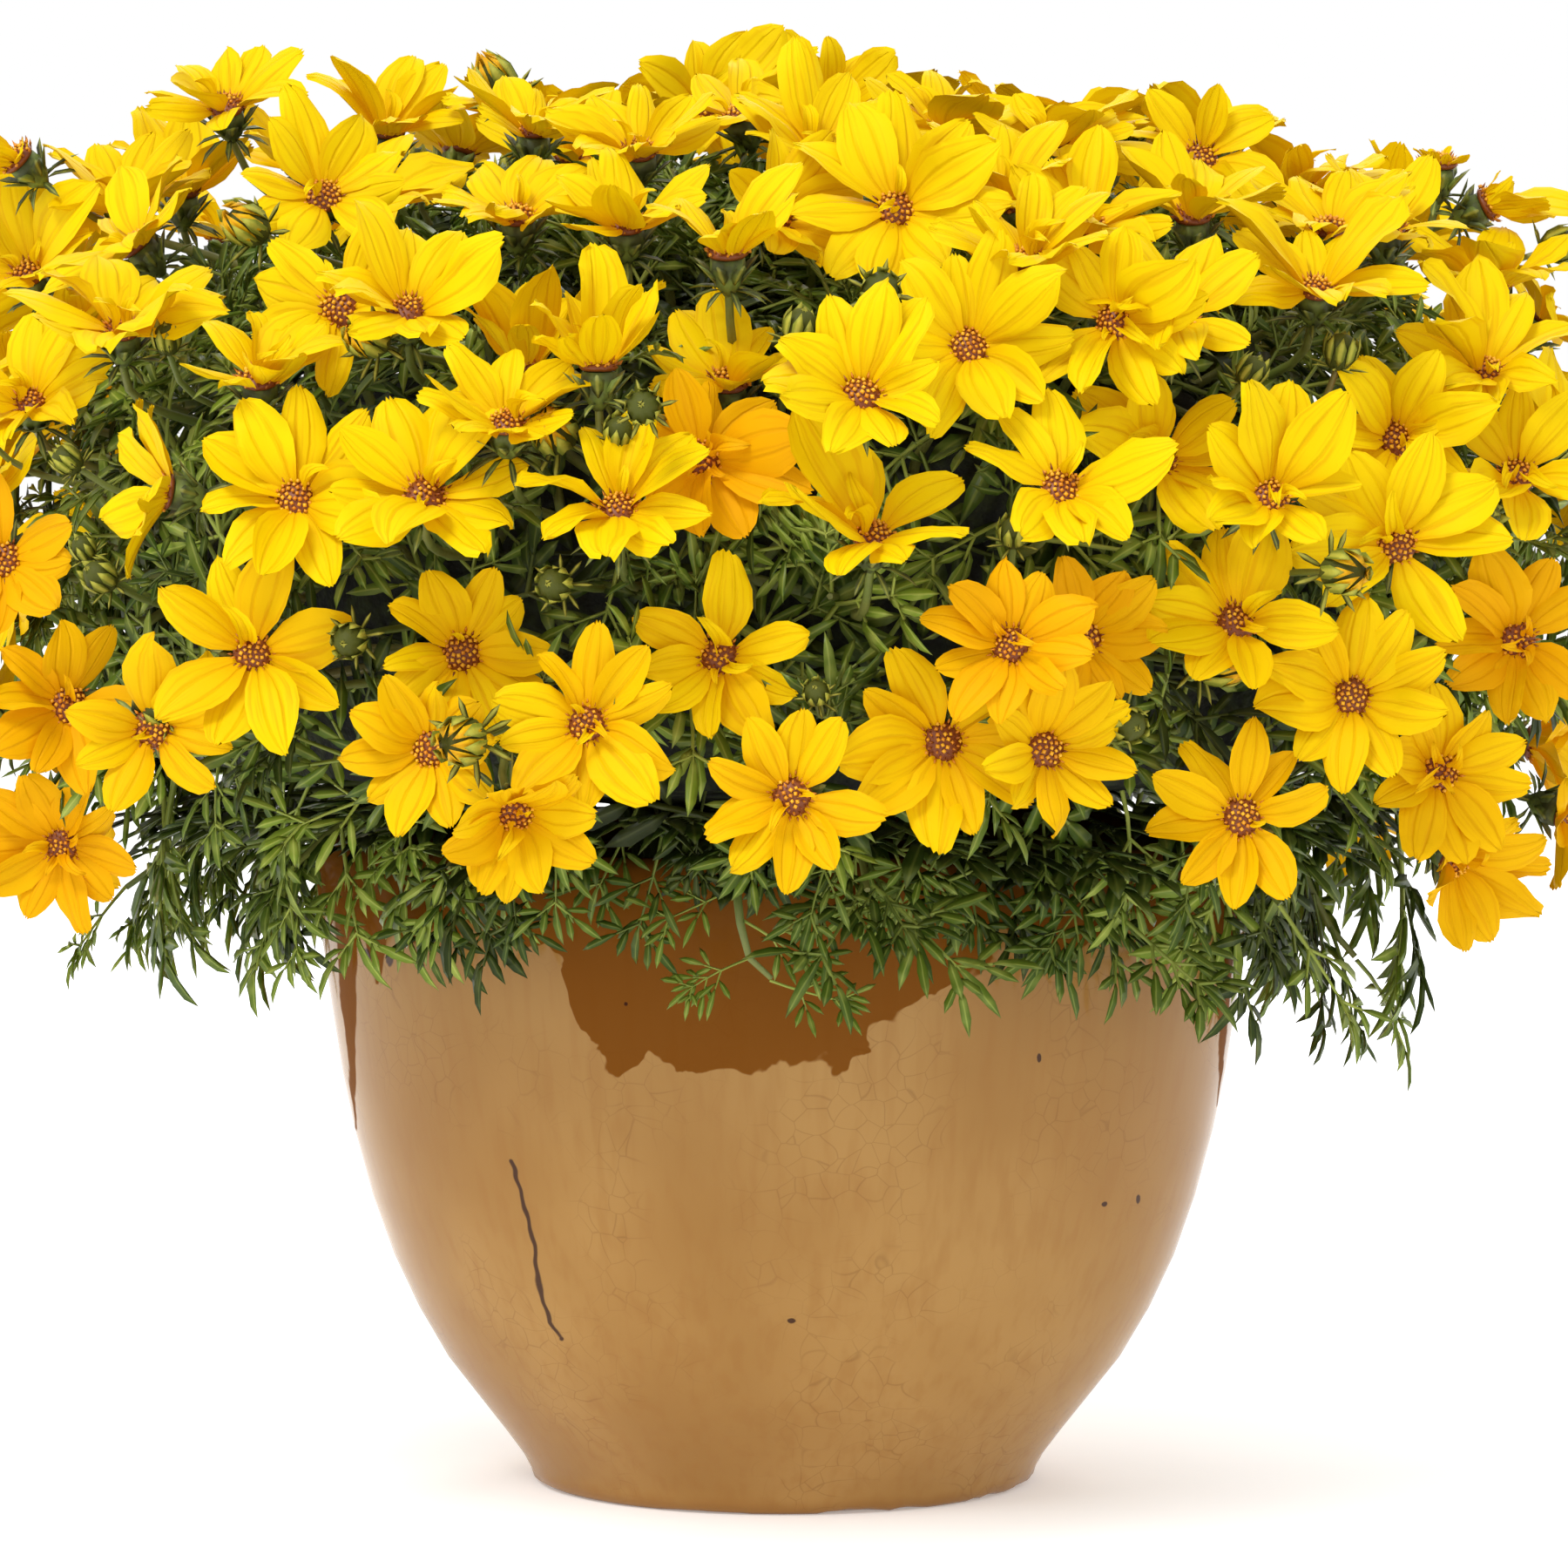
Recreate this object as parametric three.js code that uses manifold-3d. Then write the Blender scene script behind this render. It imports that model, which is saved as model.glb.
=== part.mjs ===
// A bidens in full bloom, grown as one dense mound in a bowl-shaped glazed pot.
// Millimetres, +Z up. The origin is the middle of the pot's foot, and -Y is the front.
// Each piece is one closed solid: the pot, the potting mix, nine leafy stems and the flower sprays.
import * as THREE from "three";
import { mergeVertices } from "three/addons/utils/BufferGeometryUtils.js";
import Module from "manifold-3d";

const wasm = await Module();
wasm.setup();

// Driving sizes of the pot
const potHeight = 162;
const rimRadius = 116;
const footRadius = 63;
const wallThickness = 8;
const baseThickness = 10;
const potSides = 30;
const drainHoles = 3;
const drainRadius = 5;
const drainRing = 34;
const soilDepthBelowRim = 13;

// Driving sizes of the mound: the surface that the flowers' discs lie on, widest at moundWaist
const moundRadius = 208;
const moundWaist = 228;
const moundRise = 112;
const moundDrop = 85;
const riseExponent = 2.5;
const dropExponent = 4;

// The leaf canopy under the flowers, a shell that the leaves stand out of
const canopyInset = 38;
const canopyThickness = 13;
const canopyHem = 166;
const canopyHemPolar = 1.9;
const canopyTaper = 10;
const canopySides = 20;
const sideStems = 8;
const crownRadius = 88;
const mainStemRadius = 3.6;
const mainStemRing = 34;
const mainStemDepth = 22;

// Where two pieces meet, they keep this clearance
const clearance = 0.35;

// Cuts and joins leave slivers thinner than this, which are closed up
const sliver = 0.05;

// The eye that the front flowers are laid out for, in front of the pot and a little above its rim
const eye = new THREE.Vector3(0, -1700, 266);

// Front flowers as the eye sees them on the upright plane through the pot's axis:
// [across, height, diameter, turned to the right, tipped up, petals raised], in mm and degrees
const frontFlowers = [
  [-180, 158, 46, -5, -8, 20], [167, 154, 46, 35, -30, 35], [114, 165, 48, 0, 10, 12],
  [2, 170, 48, 0, 2, 20], [-70, 173, 42, 15, -25, 35], [163, 176, 48, 15, 6, 22],
  [-88, 182, 44, -15, -5, 25], [40, 184, 56, 5, 6, 18], [65, 182, 44, 20, 5, 25],
  [-157, 187, 48, 10, -5, 22], [-49, 188, 50, 0, 8, 15], [-178, 193, 50, 15, 5, 22],
  [141, 195, 50, 0, 6, 20], [-132, 206, 56, 0, 12, 20], [-80, 206, 48, 0, 8, 18],
  [-16, 205, 48, 0, 8, 15], [74, 210, 40, 10, 15, 25],
  [57, 207, 38, -10, 12, 25], [182, 209, 46, 10, 6, 22], [113, 219, 60, 0, 28, 22],
  [-194, 229, 46, -10, 10, 20], [152, 233, 50, 0, 12, 18], [22, 235, 54, 5, 52, 28],
  [-41, 242, 50, 0, 48, 25], [-121, 244, 50, -5, 18, 22], [-89, 245, 52, 5, 35, 25],
  [121, 245, 40, 15, 28, 35], [-153, 246, 46, -75, 10, 35], [69, 247, 50, 10, 38, 25],
  [182, 250, 48, 0, 28, 25], [-20, 254, 42, 10, 18, 30], [93, 254, 48, 10, 28, 28],
  [152, 259, 46, 10, 18, 25], [19, 261, 50, 0, 35, 28], [-69, 263, 44, -5, 55, 35],
  [-187, 268, 46, -5, 40, 30], [-130, 270, 45, 0, 62, 32], [174, 276, 50, 5, 52, 32],
  [-46, 277, 42, 0, 85, 50], [-64, 277, 40, -5, 82, 50], [46, 282, 52, 0, 22, 25],
  [-14, 284, 46, 0, 62, 32], [-164, 286, 54, 5, 58, 30],
  [82, 288, 40, -15, 12, 25], [97, 289, 46, 0, 45, 28], [-93, 291, 48, 5, 50, 32],
  [-110, 291, 38, -20, 15, 25], [132, 296, 50, 5, 58, 32], [-187, 300, 44, -20, 50, 30],
  [176, 301, 46, 5, 75, 35], [60, 303, 42, 0, 65, 30], [-14, 305, 40, -5, 75, 45],
  [149, 311, 44, 5, 66, 32], [75, 311, 42, 5, 45, 30], [135, 311, 40, 0, 70, 35],
  [-39, 312, 42, 0, 62, 35], [-2, 314, 42, 35, 25, 30], [-66, 314, 44, 0, 65, 30],
  [101, 314, 42, 0, 70, 35], [28, 316, 54, 0, 32, 25], [-163, 316, 42, 0, 60, 30],
  [174, 317, 36, 75, 25, 60], [55, 318, 50, 5, 50, 35], [-114, 319, 48, 10, 35, 30],
  [-149, 320, 46, 0, 75, 35], [-184, 323, 42, -60, 40, 40], [162, 327, 26, 0, 80, 70],
  [103, 328, 47, 0, 22, 28], [8, 330, 40, 0, 60, 30], [-36, 330, 42, 0, 60, 30],
  [66, 332, 42, 10, 60, 30], [-98, 335, 44, 10, 70, 35], [-62, 335, 42, 10, 75, 35],
  [40, 336, 44, 0, 60, 30], [-138, 341, 42, -10, 55, 30], [-19, 342, 43, 0, 28, 30],
  [12, 342, 42, 5, 28, 30],
];

// Half-open flowers and large buds as the eye sees them: [across, height, thickness]
const frontBuds = [
  [30, 179, 13], [-80, 184, 13], [86, 188, 9], [108, 203, 12], [139, 226, 12], [173, 240, 10], [-57, 261, 13],
  [-35, 267, 9], [-103, 284, 11], [61, 292, 9], [24, 296, 10], [192, 307, 9], [-133, 312, 11],
  [-71, 347, 11],
];

// The sides, back and crown, filled along a golden-angle spiral where no flower stands near
const spiralPlaces = 108;
const fillSpacing = 37;
const fillDiameter = 46;
const seenHalfWidth = 196;
const seenTilt = -0.4;

// Flower parts
const petalsPerFlower = 5;
const semiDoublePetals = 8;
const semiDoubleRadius = 26;
const discRadius = 4.6;
const discRise = 2.4;
const petalHalfWidth = 0.3;
const petalShoulder = 0.8;
const petalThickness = 1.5;
const calyxDepth = 10;
const stalkRadius = 1.4;

// Forks that the stalks part from, a little above the canopy
const forkPlaces = 49;
const forkRounds = 4;
const forkLift = 9;
const forkSwell = 1.8;
const lowestFork = 1.8;

// Shifts along its facing, and scales, that a flower is tried at until it is clear of its neighbours
const flowerTrials = [
  [0, 1], [4, 1], [-4, 1], [8, 1], [-8, 1], [0, 0.9], [5, 0.9], [-5, 0.9], [11, 0.9],
  [-11, 0.9], [0, 0.78], [8, 0.78], [-8, 0.78], [14, 0.7], [-14, 0.7], [0, 0.6], [19, 0.7],
  [9, 0.55], [-9, 0.55],
];

// Leaves
const standingLeaves = 98;
const hangingLeaves = 26;
const leafLength = 50;
const leafletLength = 22;
const leafletPairs = 2;
const endLeafletHalfWidth = 3.4;
const ribHalf = 0.8;
const sunkDepth = 6;
const leafTrials = 9;
const budTrials = 12;

const goldenAngle = Math.PI * (3 - Math.sqrt(5));
const fullTurn = 2 * Math.PI;
const radians = THREE.MathUtils.degToRad;
const vec = (x, y, z) => new THREE.Vector3(x, y, z);

// Repeatable random numbers from 0 to 1
function makeRandom(seed) {
  let state = seed;
  return () => {
    state = (state * 16807) % 2147483647;
    return state / 2147483647;
  };
}

// Solids: points and triangles become a manifold-3d solid, and a solid becomes a named mesh

function solidFrom(points, triangles) {
  const vertProperties = new Float32Array(points.flatMap((p) => [p.x, p.y, p.z]));
  const triVerts = new Uint32Array(triangles.flat());
  return new wasm.Manifold(new wasm.Mesh({ numProp: 3, vertProperties, triVerts }));
}

function solidOfGeometry(geometry) {
  geometry.deleteAttribute("normal");
  geometry.deleteAttribute("uv");
  const merged = mergeVertices(geometry, 1e-4);
  const vertProperties = merged.attributes.position.array;
  const triVerts = new Uint32Array(merged.index.array);
  return new wasm.Manifold(new wasm.Mesh({ numProp: 3, vertProperties, triVerts }));
}

function namedMesh(name, solid, material) {
  const { numProp, vertProperties, triVerts } = solid.getMesh();
  const position = new Float32Array((vertProperties.length / numProp) * 3);
  for (let i = 0; i * numProp < vertProperties.length; i++) {
    position.set(vertProperties.subarray(i * numProp, i * numProp + 3), i * 3);
  }
  const geometry = new THREE.BufferGeometry();
  geometry.setAttribute("position", new THREE.BufferAttribute(position, 3));
  geometry.setIndex(new THREE.BufferAttribute(new Uint32Array(triVerts), 1));
  geometry.computeVertexNormals();
  const mesh = new THREE.Mesh(geometry, material);
  mesh.name = name;
  return mesh;
}

function clearOf(solid, others) {
  const box = solid.boundingBox();
  return others.every((other) => {
    const apart = [0, 1, 2].some(
      (i) => box.min[i] > other.box.max[i] || box.max[i] < other.box.min[i],
    );
    return apart || solid.intersect(other.solid).isEmpty();
  });
}

const boxed = (solid) => ({ solid, box: solid.boundingBox() });
const largestBody = (solid) =>
  solid.decompose().reduce((a, b) => (a.volume() > b.volume() ? a : b));

// A closed tube of a few sides along a list of points, as an extrusion along a path
function tube(points, radius, sides, steps) {
  const outline = new THREE.Shape();
  for (let i = 0; i < sides; i++) {
    const a = (i / sides) * fullTurn;
    outline[i ? "lineTo" : "moveTo"](radius * Math.cos(a), radius * Math.sin(a));
  }
  const extrudePath = new THREE.CatmullRomCurve3(points);
  return solidOfGeometry(
    new THREE.ExtrudeGeometry(outline, { steps, extrudePath, bevelEnabled: false }),
  );
}

// Triangles between two rings of point numbers, both counter-clockwise from above, facing out
function bridge(upper, lower) {
  const triangles = [];
  let i = 0;
  let j = 0;
  while (i < upper.length || j < lower.length) {
    const stepLower = j * upper.length <= i * lower.length && j < lower.length;
    const u = upper[i % upper.length];
    const l = lower[j % lower.length];
    if (stepLower) triangles.push([l, lower[++j % lower.length], u]);
    else triangles.push([upper[++i % upper.length], u, l]);
  }
  return triangles;
}

// The mound: a round superellipsoid with a softer top and a fuller underside

function moundValue(p, inset = 0) {
  const rising = p.z > moundWaist;
  const n = rising ? riseExponent : dropExponent;
  const height = (rising ? moundRise : moundDrop) - inset;
  const across = Math.hypot(p.x, p.y) / (moundRadius - inset);
  return across ** n + (Math.abs(p.z - moundWaist) / height) ** n;
}

function moundNormal(p) {
  const step = 0.5;
  const slope = (axis) => {
    const ahead = p.clone();
    const behind = p.clone();
    ahead[axis] += step;
    behind[axis] -= step;
    return moundValue(ahead) - moundValue(behind);
  };
  return vec(slope("x"), slope("y"), slope("z")).normalize();
}

// The mound's point in the direction of a polar angle from the top and a turn round the axis
function moundPoint(polar, turn, inset = 0) {
  const rising = Math.cos(polar) > 0;
  const n = rising ? riseExponent : dropExponent;
  const height = (rising ? moundRise : moundDrop) - inset;
  const reach =
    ((Math.sin(polar) / (moundRadius - inset)) ** n +
      (Math.abs(Math.cos(polar)) / height) ** n) **
    (-1 / n);
  return vec(
    reach * Math.sin(polar) * Math.cos(turn),
    reach * Math.sin(polar) * Math.sin(turn),
    moundWaist + reach * Math.cos(polar),
  );
}

// The canopy's surface: the mound drawn in, with a wall that tapers from its waist down to a hem
function canopyPoint(polar, turn, depth = 0) {
  const inset = canopyInset + depth;
  if (polar < Math.PI / 2) return moundPoint(polar, turn, inset);
  const slope = canopyTaper / (moundWaist - canopyHem);
  const reach = (moundRadius - inset) / (Math.sin(polar) - slope * Math.cos(polar));
  return vec(
    reach * Math.sin(polar) * Math.cos(turn),
    reach * Math.sin(polar) * Math.sin(turn),
    moundWaist + reach * Math.cos(polar),
  );
}

// The canopy's point straight below a place over it
function canopyUnder(place, depth, lowest = canopyHemPolar) {
  const polar = Math.atan2(Math.hypot(place.x, place.y), place.z - moundWaist);
  return canopyPoint(Math.min(lowest, polar), Math.atan2(place.y, place.x), depth);
}

// The polar angle of each place on a spiral that spreads count places evenly over a share of a sphere
const spiralPolar = (i, count, share) => Math.acos(1 - (2 * share * (i + 0.5)) / count);

// The place on the mound that the eye sees at a point of the upright plane, and the line of sight
function seenOnMound(across, height) {
  const sight = vec(across, 0, height).sub(eye).normalize();
  const nearest = 1440;
  const farthest = 1760;
  let best = null;
  for (let d = nearest; d < farthest; d += 2) {
    const p = eye.clone().addScaledVector(sight, d);
    const value = moundValue(p);
    if (!best || value < best.value) best = { value, p };
    if (value <= 1) break;
  }
  return { place: best.p, sight };
}

// Flowers: each has a place, a facing, a radius and how far its petals rise

function facingOf(turn, tip) {
  const t = radians(turn);
  const u = radians(tip);
  return vec(Math.sin(t) * Math.cos(u), -Math.cos(t) * Math.cos(u), Math.sin(u));
}

// Two flat discs cross if neither lies wholly to one side of the other
function discsCross(a, b) {
  const apart = b.place.clone().sub(a.place);
  const reach = 0.8 * (a.radius + b.radius);
  return [a, b].every((flower) => {
    const rise = Math.abs(apart.dot(flower.facing));
    const across = Math.sqrt(Math.max(0, apart.lengthSq() - rise * rise));
    return rise < 9 && across < reach;
  });
}

// Moves a flower along a line, by the first of the shifts that takes it clear of the others
function settle(flower, line, shifts, others) {
  const start = flower.place.clone();
  for (const shift of shifts) {
    flower.place = start.clone().addScaledVector(line, shift);
    if (!others.some((other) => discsCross(flower, other))) return flower;
  }
  flower.place = start;
  return flower;
}

function layOutFlowers() {
  const flowers = [];
  for (const [across, height, diameter, turn, tip, raised] of frontFlowers) {
    const { place, sight } = seenOnMound(across, height);
    const radius = (diameter / 2) * (place.distanceTo(eye) / eye.length());
    const flower = { place, facing: facingOf(turn, tip), radius, raised };
    flowers.push(settle(flower, sight, [0, 9, 18, -8, 27, 36], flowers));
  }
  const random = makeRandom(20);
  for (let i = 0; i < spiralPlaces; i++) {
    const place = moundPoint(spiralPolar(i, spiralPlaces, 0.68), i * goldenAngle);
    const [leanX, leanY, size, raise] = [random(), random(), random(), random()];
    const normal = moundNormal(place);
    const seen = normal.y < seenTilt && Math.abs(place.x) < seenHalfWidth;
    const crowded = flowers.some((f) => f.place.distanceTo(place) < fillSpacing);
    if (seen || crowded) continue;
    const facing = normal.clone().add(vec(leanX - 0.5, leanY - 0.5, 0.35)).normalize();
    const radius = (fillDiameter / 2) * (0.92 + 0.16 * size);
    const flower = { place, facing, radius, raised: 18 + 18 * raise };
    flowers.push(settle(flower, normal, [0, -9, 8, -18], flowers));
  }
  return flowers;
}

// The forks that flower stalks part from, each moved in a few rounds to the middle of its flowers
function layOutForks(flowers) {
  const forks = [];
  for (let i = 0; i < forkPlaces; i++) {
    forks.push({ place: moundPoint(spiralPolar(i, forkPlaces, 0.65), i * goldenAngle) });
  }
  for (let round = 0; round < forkRounds; round++) {
    for (const fork of forks) fork.flowers = [];
    for (const flower of flowers) {
      const distance = (fork) => fork.place.distanceTo(flower.place);
      forks.reduce((a, b) => (distance(a) <= distance(b) ? a : b)).flowers.push(flower);
    }
    for (const fork of forks.filter((f) => f.flowers.length)) {
      fork.place = vec(0, 0, 0);
      for (const flower of fork.flowers) fork.place.add(flower.place);
      fork.place.divideScalar(fork.flowers.length);
    }
  }
  for (const fork of forks) {
    fork.seat = canopyUnder(fork.place, 0.7 * canopyThickness, lowestFork);
    fork.place = canopyUnder(fork.place, -forkLift, lowestFork);
  }
  return forks.filter((fork) => fork.flowers.length);
}

// One flower: petals round a domed disc, and a calyx that narrows to a stalk along a route of points.
// grow adds to every size, for testing what comes too near.
function flowerSolid(flower, route, random, grow = 0) {
  const points = [];
  const triangles = [];
  const upright = new THREE.Quaternion().setFromUnitVectors(vec(0, 0, 1), flower.facing);
  const add = (p) => points.push(p) - 1;
  const addLocal = (r, angle, z) =>
    add(vec(r * Math.cos(angle), r * Math.sin(angle), z).applyQuaternion(upright).add(flower.place));
  const petals = flower.radius > semiDoubleRadius ? semiDoublePetals : petalsPerFlower;
  const step = fullTurn / petals;
  const spin = random() * step;
  const upper = [];
  const lower = [];
  for (let i = 0; i < petals; i++) {
    upper.push(addLocal(discRadius + grow, spin + i * step, 0.5 + grow));
    lower.push(addLocal(discRadius + grow, spin + i * step, -0.8 - grow));
  }
  const top = addLocal(0, 0, discRise + grow);
  for (let i = 0; i < petals; i++) {
    const next = (i + 1) % petals;
    const middle = spin + (i + 0.5) * step;
    const length = (flower.radius + grow) * (0.92 + 0.12 * random());
    const raised = radians(flower.raised + 12 * (random() - 0.5));
    const across = (petalShoulder * length) * Math.cos(raised);
    const rise = (petalShoulder * length) * Math.sin(raised) + petalThickness + grow;
    const turned = Math.atan((petalHalfWidth * flower.radius + grow) / across);
    const first = addLocal(across, middle - turned, rise);
    const last = addLocal(across, middle + turned, rise);
    const tip = addLocal(length * Math.cos(raised), middle, length * Math.sin(raised) - grow);
    triangles.push(
      [top, upper[i], upper[next]],
      [upper[i], first, last], [first, tip, last], [upper[i], last, upper[next]],
      [lower[i], tip, first], [lower[i], lower[next], tip], [lower[next], last, tip],
      [first, upper[i], lower[i]], [upper[next], last, lower[next]],
    );
  }
  const stations = [flower.place.clone().addScaledVector(flower.facing, -calyxDepth), ...route];
  const rings = stations.map((station, i) => {
    const ahead = i ? stations[i - 1] : flower.place;
    const axis = ahead.clone().sub(station).normalize();
    if (stations[i + 1]) axis.add(station.clone().sub(stations[i + 1]).normalize()).normalize();
    const turned = new THREE.Quaternion().setFromUnitVectors(flower.facing, axis);
    const swell = i && stations[i + 1] ? forkSwell : 1;
    return [0, 1, 2].map((k) => {
      const angle = spin + (k / 3) * fullTurn;
      const offset = vec(Math.cos(angle), Math.sin(angle), 0);
      offset.multiplyScalar(swell * stalkRadius + grow);
      return add(offset.applyQuaternion(upright).applyQuaternion(turned).add(station));
    });
  });
  [lower, ...rings].reduce((above, below) => {
    triangles.push(...bridge(above, below));
    return below;
  });
  triangles.push([...rings.at(-1)].reverse());
  return solidFrom(points, triangles);
}

// A bud on its stalk: a pointed five-sided body that narrows to the stalk, down to the canopy
function budSolid(place, root, thickness, grow = 0) {
  const points = [];
  const axis = place.clone().sub(root).normalize();
  const upright = new THREE.Quaternion().setFromUnitVectors(vec(0, 0, 1), axis);
  const ring = (count, radius, z, centre = place) =>
    Array.from({ length: count }, (_, k) => {
      const angle = (k / count) * fullTurn;
      const p = vec(radius * Math.cos(angle), radius * Math.sin(angle), z);
      return points.push(p.applyQuaternion(upright).add(centre)) - 1;
    });
  const half = thickness / 2 + grow;
  const top = points.push(place.clone().addScaledVector(axis, 1.3 * half)) - 1;
  const body = ring(5, half, 0);
  const collar = ring(3, stalkRadius + grow, -half);
  const foot = ring(3, stalkRadius + grow, 0, root);
  const triangles = body.map((b, k) => [top, b, body[(k + 1) % body.length]]);
  triangles.push(...bridge(body, collar), ...bridge(collar, foot), [...foot].reverse());
  return solidFrom(points, triangles);
}

// A leaf cut to its rib: pairs of leaflets and an end leaflet in one thin arched blade.
// It starts at a point sunk below its root, and bends over as it goes.
function leafSolid({ root, towards, facing, scale }, grow = 0) {
  const points = [];
  const triangles = [];
  const along = towards.clone().normalize();
  const side = new THREE.Vector3().crossVectors(along, facing).normalize();
  const up = new THREE.Vector3().crossVectors(side, along);
  const length = leafLength * scale;
  const droop = 0.005 / scale;
  const add = (x, y, z) => {
    const p = root.clone().addScaledVector(side, x).addScaledVector(along, y);
    return points.push(p.addScaledVector(up, z - droop * Math.max(0, y) ** 2)) - 1;
  };
  const half = ribHalf + grow;
  const sunk = add(0, -sunkDepth, 0);
  const stations = [];
  for (let k = 0; k <= leafletPairs; k++) stations.push(length * (0.16 + (0.46 * k) / leafletPairs));
  const sections = stations.map((y) => [add(-half, y, half), add(half, y, half), add(0, y, -half)]);
  const [leftFoot, rightFoot, underFoot] = sections[0];
  triangles.push([sunk, rightFoot, leftFoot], [sunk, underFoot, rightFoot], [sunk, leftFoot, underFoot]);
  for (let k = 0; k < leafletPairs; k++) {
    const [left, right, under] = sections[k];
    const [leftNext, rightNext, underNext] = sections[k + 1];
    const reach = leafletLength * scale * (1.05 - 0.16 * k) + grow;
    const tipY = stations[k + 1] + 0.6 * reach;
    const leftTip = add(-0.74 * reach, tipY, 0.8);
    const rightTip = add(0.74 * reach, tipY, 0.8);
    triangles.push(
      [left, right, rightNext], [left, rightNext, leftNext],
      [left, leftNext, leftTip], [leftNext, underNext, leftTip],
      [underNext, under, leftTip], [under, left, leftTip],
      [rightNext, right, rightTip], [underNext, rightNext, rightTip],
      [under, underNext, rightTip], [right, under, rightTip],
    );
  }
  const [left, right, under] = sections.at(-1);
  const endHalfWidth = endLeafletHalfWidth * scale + grow;
  const endLeft = add(-endHalfWidth, 0.8 * length, 1 + grow);
  const endRight = add(endHalfWidth, 0.8 * length, 1 + grow);
  const tip = add(0, length + grow, 0);
  triangles.push(
    [left, right, endRight], [left, endRight, endLeft], [endLeft, endRight, tip],
    [under, left, endLeft], [under, endLeft, tip], [under, tip, endRight], [right, under, endRight],
  );
  return solidFrom(points, triangles);
}

// Pot: a bowl turned on a wheel, with a rolled rim, a flat foot and three drain holes
function potSolid() {
  const bowl = [
    [0, 0], [footRadius - 2, 0], [footRadius, 2.5], [71, 14], [84, 31], [97.5, 57],
    [107, 88], [112.3, 118], [rimRadius, potHeight - 8], [rimRadius - 2.5, potHeight],
    [rimRadius - wallThickness, potHeight - 2], [105.5, 130], [99, 88], [89, 57],
    [74, 31], [56, baseThickness], [0, baseThickness],
  ].map(([r, z]) => new THREE.Vector2(r, z));
  const turned = new THREE.LatheGeometry(bowl, potSides);
  let solid = solidOfGeometry(turned.rotateX(Math.PI / 2));
  for (let i = 0; i < drainHoles; i++) {
    const turn = ((i + 0.25) / drainHoles) * fullTurn;
    const drill = new THREE.CylinderGeometry(drainRadius, drainRadius, 4 * baseThickness, 8);
    drill.rotateX(Math.PI / 2);
    drill.translate(drainRing * Math.cos(turn), drainRing * Math.sin(turn), 0);
    solid = solid.subtract(solidOfGeometry(drill));
  }
  return solid;
}

// Potting mix: fills the bowl to a low crown under the rim, with a hole for each stem
function soilSolid(stems) {
  const level = potHeight - soilDepthBelowRim;
  const c = clearance;
  const fill = [
    [0, baseThickness + c], [54, baseThickness + c], [72.5, 31 + c], [88, 57 + c],
    [98, 88 + c], [104.4, 130], [105.4, level - 3], [0, level + 3],
  ].map(([r, z]) => new THREE.Vector2(r, z));
  const turned = new THREE.LatheGeometry(fill, potSides);
  return stems.reduce(
    (solid, stem) => solid.subtract(stem),
    solidOfGeometry(turned.rotateX(Math.PI / 2)),
  );
}

// The canopy shell, turned, then parted into a crown and eight side pieces
function canopyShell(grow = 0) {
  const outerPolars = [canopyHemPolar, 1.57, 1.3, 1.08, 0.86, 0.6, 0.3];
  const innerPolars = [0.7, 1.2, canopyHemPolar];
  const section = (polars, depth) =>
    polars.map((polar) => {
      const p = canopyPoint(polar, 0, depth);
      return new THREE.Vector2(p.x, p.z - (polar === canopyHemPolar ? grow : 0));
    });
  const crownAt = (depth) => new THREE.Vector2(0, moundWaist + moundRise - canopyInset - depth);
  const profile = [
    crownAt(canopyThickness + grow), ...section(innerPolars, canopyThickness + grow),
    ...section(outerPolars, -grow), crownAt(-grow),
  ];
  const turned = new THREE.LatheGeometry(profile, canopySides);
  return solidOfGeometry(turned.rotateX(Math.PI / 2));
}

function prism(corners, bottom, height) {
  const shape = new THREE.Shape(corners.map(([x, y]) => new THREE.Vector2(x, y)));
  const block = new THREE.ExtrudeGeometry(shape, { depth: height, bevelEnabled: false });
  return solidOfGeometry(block.translate(0, 0, bottom));
}

// A crown and side pieces of the canopy, cut apart with twice the clearance between them
function stemSectors() {
  const shell = canopyShell();
  const disc = (radius) =>
    Array.from({ length: canopySides }, (_, k) => {
      const turn = ((k + 0.5) / canopySides) * fullTurn;
      return [radius * Math.cos(turn), radius * Math.sin(turn)];
    });
  const [bottom, height, far] = [100, 300, 400];
  const crown = shell.intersect(prism(disc(crownRadius), moundWaist, height));
  const ring = shell.subtract(prism(disc(crownRadius + 2 * clearance), moundWaist, height));
  const sectors = [{ name: "leafy_stem_crown", body: crown }];
  for (let i = 0; i < sideStems; i++) {
    const middle = ((i + 0.5) / sideStems) * fullTurn;
    const apex = clearance / Math.sin(Math.PI / sideStems);
    const corner = (turn) => [
      apex * Math.cos(middle) + far * Math.cos(turn),
      apex * Math.sin(middle) + far * Math.sin(turn),
    ];
    const wedge = [
      [apex * Math.cos(middle), apex * Math.sin(middle)],
      corner((i / sideStems) * fullTurn),
      corner(((i + 1) / sideStems) * fullTurn),
    ];
    const body = ring.intersect(prism(wedge, bottom, height));
    sectors.push({ name: `leafy_stem_${i + 1}`, body, middle });
  }
  return sectors;
}

// The number of the canopy piece that a place stands over
function sectorOf(place) {
  if (Math.hypot(place.x, place.y) < crownRadius + 1) return 0;
  const turn = (Math.atan2(place.y, place.x) + fullTurn) % fullTurn;
  return 1 + Math.floor((turn / fullTurn) * sideStems);
}

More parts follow.
